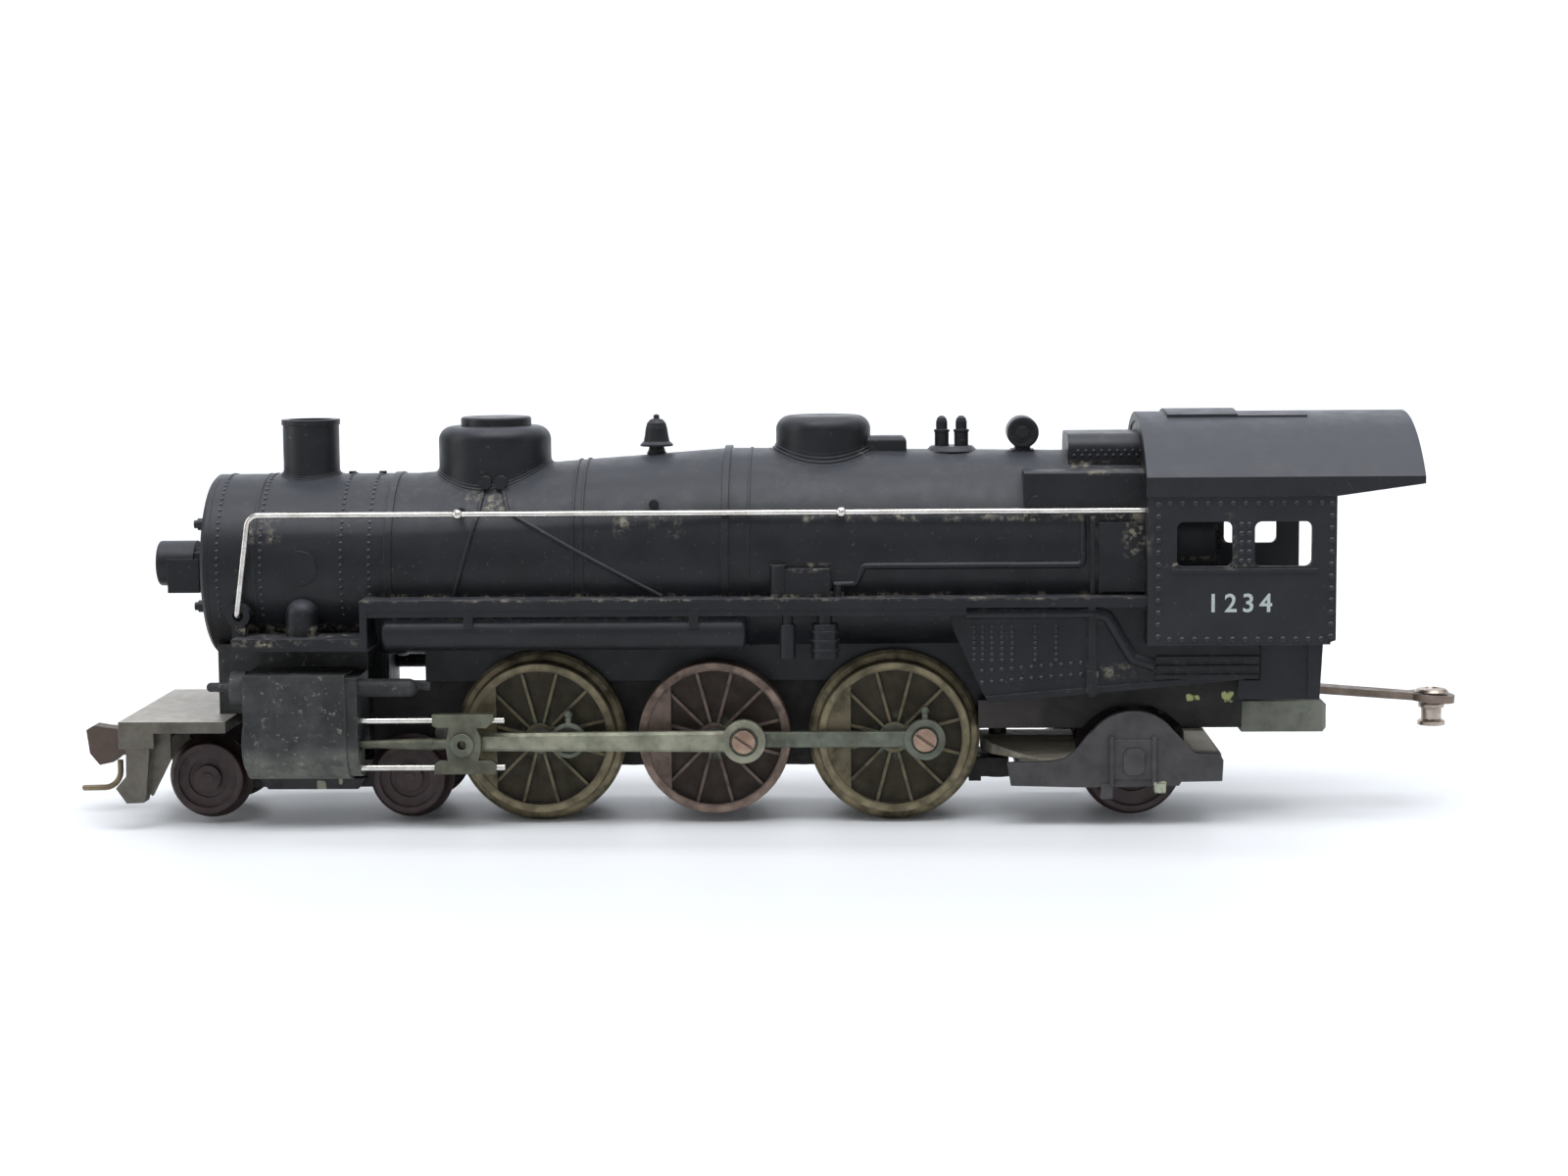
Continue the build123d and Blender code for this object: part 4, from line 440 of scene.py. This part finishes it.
for node in ("boiler_shell", "smokebox_front", "headlight", "bell", "safety_valves", "generator"):
    paint(node, BLACK)
for node in ("cab_shell", "cab_roof"):
    paint(node, LIT_CAB_BLACK)
for node in ("handrail_left", "handrail_right", "handrail_stanchions", "guide_bars"):
    paint(node, WIRE)
for node in ("frame_screws", "driver_2_crank_pins", "driver_3_crank_pins"):
    paint(node, NICKEL)
for node in ("pivot_screws", "driver_1_crank_pins"):
    paint(node, DARK_PIN)
for node, material in (("tail_plate", TAIL), ("pilot_deck", DECK), ("coupler_lid", DECK)):
    paint(node, material)
for side in ("left", "right"):
    paint(f"main_rod_{side}", ROD)
    paint(f"side_rod_{side}", SIDE_ROD)
    paint(f"wrist_pin_{side}", SIDE_ROD)
    paint(f"crosshead_{side}", CROSSHEAD)
    paint(f"piston_rod_{side}", CROSSHEAD)
for node in ("main_frame", "bottom_plate"):
    paint(node, FRAME)
for node in ("pilot_truck_frame", "trailing_truck_frame"):
    paint(node, TRUCK)
for node in ("pilot_front_wheelset", "pilot_rear_wheelset", "trailing_wheelset"):
    paint(node, TRUCK_WHEEL)
for node in ("frame_cross_pin", "driver_1_axle", "driver_2_axle", "driver_3_axle", "pilot_truck_spring"):
    paint(node, STEEL)
for node, material in (("cylinder_block", CYLINDER), ("drawbar", DRAWBAR), ("drawbar_pin", SPOOL),
                       ("coupler_head", COUPLER), ("coupler_knuckle", COUPLER), ("trip_pin", TRIP),
                       ("motor_frame", MOTOR), ("motor_magnet", MAGNET), ("motor_armature", COPPER),
                       ("worm_gear", BRASS), ("boiler_weight", LEAD), ("headlight_lens", GLASS)):
    paint(node, material)

HUB_R = 2.0 * MM
RIM_R = 9.0 * MM
WHEEL_COLORS = {1: (0.044, 0.038, 0.023), 2: (0.046, 0.034, 0.027), 3: (0.044, 0.038, 0.023)}

for number, x in AXLE_X.items():
    base = WHEEL_COLORS[number]
    red, green, blue = base
    dark = (red * 0.55, green * 0.52, blue * 0.5)
    light = (red * 6.5, green * 6.4, blue * 6.6)
    material = wheel_metal(f"driver_{number}_metal", at(x, 0, AXLE_Z), HUB_R, RIM_R, base, dark, light)
    for side in ("left", "right"):
        paint(f"driver_{number}_wheel_{side}", material)


# ------------------------------------------------------------------ pieces
def studs_mesh(name, verts, faces, material):
    """New mesh object in the row frame that rides on the engine."""
    mesh = bpy.data.meshes.new(name)
    mesh.from_pydata(verts, [], faces)
    mesh.materials.append(material)
    mesh.update()
    mesh.shade_smooth()
    made = bpy.data.objects.new(name, mesh)
    bpy.context.scene.collection.objects.link(made)
    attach(made, "engine")


def frame_from(normal):
    """Two unit vectors square to a normal."""
    n = Vector(normal).normalized()
    side = n.cross(Vector((0, 0, 1)))
    if side.length < 0.1:
        side = n.cross(Vector((1, 0, 0)))
    side.normalize()
    return n, side, n.cross(side)


STUD_RINGS = ((1.0, -0.35), (1.0, 0.15), (0.86, 0.55), (0.5, 0.88))   # shares of radius and height
STUD_SIDES = 10


def studs(name, places, radius, height):
    """Domed rivet heads at (point, normal) places, sunk a little into their surface."""
    verts = []
    faces = []
    for point, normal in places:
        n, u, v = frame_from(normal)
        first = len(verts)
        for share, rise in STUD_RINGS:
            for i in range(STUD_SIDES):
                turn = 2 * math.pi * i / STUD_SIDES
                spoke = u * math.cos(turn) + v * math.sin(turn)
                verts.append(point + spoke * radius * share + n * height * rise)
        verts.append(point + n * height)
        for ring in range(len(STUD_RINGS) - 1):
            for i in range(STUD_SIDES):
                a = first + ring * STUD_SIDES + i
                b = first + ring * STUD_SIDES + (i + 1) % STUD_SIDES
                faces.append((a, b, b + STUD_SIDES, a + STUD_SIDES))
        top = first + (len(STUD_RINGS) - 1) * STUD_SIDES
        for i in range(STUD_SIDES):
            faces.append((top + i, top + (i + 1) % STUD_SIDES, len(verts) - 1))
    # rivet heads take the lighter black, a painted highlight
    studs_mesh(name, verts, faces, LIT_RIVET_BLACK)


def steps(start, end, pitch):
    """Evenly spaced numbers from start to end, about pitch apart."""
    count = max(1, round(abs(end - start) / pitch))
    return [start + (end - start) * i / count for i in range(count + 1)]


BOILER_STATIONS = ((-66.1, 12.2, 33.6), (-40.0, 12.2, 33.6), (2.0, 13.7, 35.2), (56.1, 13.3, 34.9))


def boiler_at(x):
    """Radius and centre height of the boiler at x, in millimetres, as the CAD has them."""
    for (xa, ra, za), (xb, rb, zb) in zip(BOILER_STATIONS, BOILER_STATIONS[1:]):
        if x <= xb:
            t = (x - xa) / (xb - xa)
            return ra + t * (rb - ra), za + t * (zb - za)
    return BOILER_STATIONS[-1][1:]


CAB_SIDE_Y = 16.75
FIREBOX_SIDE_Y = 14.0
TURRET_SIDE_Y = 6.4


def cab_rivets():
    """Rivets of the cab: its front and rear edges, the window post, and along the bottom and the eave."""
    places = []
    for side in (-1, 1):
        for z in steps(25.2, 42.2, 1.55):
            for x in (57.45, 79.45):
                places.append((at(x, side * CAB_SIDE_Y, z), (0, side, 0)))
        for z in steps(34.9, 39.6, 1.18):
            for x in (68.0, 69.0):
                places.append((at(x, side * CAB_SIDE_Y, z), (0, side, 0)))
        for x in steps(58.9, 78.2, 1.6):
            places.append((at(x, side * CAB_SIDE_Y, 24.85), (0, side, 0)))
            places.append((at(x, side * CAB_SIDE_Y, 42.3), (0, side, 0)))
    studs("cab_rivets", places, 0.38 * MM, 0.2 * MM)


def boiler_rivets():
    """Rings of rivets over the smokebox, open at the bottom."""
    places = []
    for x in (-64.9, -59.2, -48.6, -44.9):
        r, centre = boiler_at(x)
        for degrees in steps(-118, 118, 4.6):
            turn = math.radians(degrees)
            normal = (0, math.sin(turn), math.cos(turn))
            places.append((at(x, r * normal[1], centre + r * normal[2]), normal))
    studs("boiler_rivets", places, 0.25 * MM, 0.14 * MM)


def firebox_stays():
    """Stay heads: upright columns, and two longer rows along the lower edge."""
    places = []
    for side in (-1, 1):
        for x in (34.0, 35.1, 36.3, 37.6, 38.9, 41.9, 44.6):
            for z in steps(21.9, 26.4, 0.8):
                places.append((at(x, side * FIREBOX_SIDE_Y, z), (0, side, 0)))
        for x in steps(35.0, 47.8, 1.25):
            for z in (19.0, 20.5):
                places.append((at(x, side * FIREBOX_SIDE_Y, z + (x - 35.0) * 0.08), (0, side, 0)))
    studs("firebox_stays", places, 0.32 * MM, 0.26 * MM)


def turret_rivets():
    """Two staggered rows along each side of the turret."""
    places = []
    for side in (-1, 1):
        for x in steps(47.4, 55.6, 1.0):
            places.append((at(x, side * TURRET_SIDE_Y, 47.9), (0, side, 0)))
            places.append((at(x + 0.5, side * (TURRET_SIDE_Y - 0.02), 48.5), (0, side, 0)))
    studs("turret_rivets", places, 0.24 * MM, 0.14 * MM)


def cab_number(side):
    """Generic four-figure number on the cab's side, raised a hair above it."""
    curve = bpy.data.curves.new(f"cab_number_{side}", "FONT")
    curve.body = "1234"
    curve.size = 3.3 * MM
    curve.space_character = 1.36
    curve.align_x = "CENTER"
    curve.extrude = 0.03 * MM
    curve.offset = 0.05 * MM
    text = bpy.data.objects.new(f"text_{side}", curve)
    mesh = bpy.data.meshes.new_from_object(text)
    sign = -1 if side == "left" else 1
    turn = Matrix.Rotation(math.radians(90), 4, "X")
    if side == "right":
        turn = Matrix.Rotation(math.radians(180), 4, "Z") @ turn
    mesh.transform(Matrix.Translation(at(67.8, sign * (CAB_SIDE_Y + 0.01), 28.45)) @ turn)
    mesh.materials.clear()
    mesh.materials.append(PRINT)
    made = bpy.data.objects.new(f"cab_number_{side}", mesh)
    bpy.context.scene.collection.objects.link(made)
    bpy.data.objects.remove(text)
    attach(made, "engine")


cab_rivets()
boiler_rivets()
firebox_stays()
turret_rivets()
cab_number("left")
cab_number("right")


# ------------------------------------------------------------------ floor, light and camera
def stage_material(name, color, gloss):
    s = Surface(name)
    tone = s.mix(s.step(s.noise(6, 3), 0.3, 0.7), color, tuple(c * 0.97 for c in color))
    normal = s.node("ShaderNodeNewGeometry").outputs["Normal"]
    return s.finish(tone, gloss, s.bump(s.noise(900, 2), 0.05, 0.02 * MM, normal))


FLOOR_FRONT_Y = -1.2
FLOOR_BACK_Y = 0.55
BACKDROP_CURVE_R = 0.35
BACKDROP_TOP_Z = 1.6
STAGE_HALF_WIDTH = 2.2
CURVE_STEPS = 12
FLOOR_DROP = 0.1 * MM       # keeps the floor clear of the wheels


def sweep():
    """Pale floor that curves up into a backdrop."""
    profile = [(FLOOR_FRONT_Y, 0.0), (FLOOR_BACK_Y, 0.0)]
    for i in range(1, CURVE_STEPS + 1):
        turn = math.radians(90 * i / CURVE_STEPS)
        profile.append((FLOOR_BACK_Y + BACKDROP_CURVE_R * math.sin(turn),
                        BACKDROP_CURVE_R - BACKDROP_CURVE_R * math.cos(turn)))
    profile.append((FLOOR_BACK_Y + BACKDROP_CURVE_R, BACKDROP_TOP_Z))
    verts = [(x, y, z - FLOOR_DROP) for y, z in profile for x in (-STAGE_HALF_WIDTH, STAGE_HALF_WIDTH)]
    faces = [(2 * i, 2 * i + 1, 2 * i + 3, 2 * i + 2) for i in range(len(profile) - 1)]
    mesh = bpy.data.meshes.new("floor_sweep")
    mesh.from_pydata(verts, [], faces)
    mesh.materials.append(stage_material("floor_pale", (0.86, 0.88, 0.91), 0.45))
    mesh.shade_smooth()
    made = bpy.data.objects.new("floor_sweep", mesh)
    bpy.context.scene.collection.objects.link(made)


def area_light(name, place, target, size, power, color):
    """Rectangular light at a place, turned to a target; size in metres, power in watts."""
    data = bpy.data.lights.new(name, "AREA")
    data.shape = "RECTANGLE"
    data.size, data.size_y = size
    data.energy = power
    data.color = color
    made = bpy.data.objects.new(name, data)
    made.location = place
    made.rotation_euler = (Vector(target) - Vector(place)).to_track_quat("-Z", "Y").to_euler()
    bpy.context.scene.collection.objects.link(made)


sweep()
area_light("key_softbox", (0.05, -0.25, 0.75), (0, 0, 0.03), (0.9, 0.5), 6.0, (0.97, 0.985, 1.0))
area_light("front_fill", (-0.25, -0.9, 0.35), (0, 0, 0.03), (1.0, 0.6), 0.6, (1.0, 0.99, 0.97))
area_light("left_side", (-0.7, -0.15, 0.25), (0, 0, 0.04), (0.4, 0.5), 1.5, (1.0, 1.0, 1.0))
area_light("right_side", (0.7, -0.1, 0.25), (0, 0, 0.04), (0.4, 0.5), 0.5, (1.0, 1.0, 1.0))
area_light("back_wash", (0.0, 0.3, 0.8), (0, 0.85, 0.35), (1.6, 0.5), 7.0, (1.0, 1.0, 1.0))

world = bpy.data.worlds.new("studio")
world.use_nodes = True
world.node_tree.nodes["Background"].inputs["Color"].default_value = (0.93, 0.96, 1.0, 1.0)
world.node_tree.nodes["Background"].inputs["Strength"].default_value = 0.32
bpy.context.scene.world = world
bpy.context.scene.view_settings.view_transform = "Standard"

CAMERA_PLACE = (15.85 * MM, -378.76 * MM, 71.11 * MM)
CAMERA_TURN = (0.0337, -0.1081, 0.0088)     # yaw, pitch and roll in radians
FOCAL_LENGTH = 65.119275                    # millimetres, on the sensor width below
SENSOR_WIDTH = 36.0

camera_data = bpy.data.cameras.new("camera")
camera_data.sensor_width = SENSOR_WIDTH
camera_data.lens = FOCAL_LENGTH
camera_data.clip_start = 0.01
camera = bpy.data.objects.new("camera", camera_data)
yaw, pitch, roll = CAMERA_TURN
turn = Matrix.Rotation(yaw, 3, "Z") @ Matrix.Rotation(pitch, 3, "X") @ Matrix.Rotation(roll, 3, "Y")
right, ahead, up = (turn.col[i].copy() for i in range(3))
camera.matrix_world = Matrix.Translation(CAMERA_PLACE) @ Matrix((right, up, -ahead)).transposed().to_4x4()
bpy.context.scene.collection.objects.link(camera)
bpy.context.scene.camera = camera
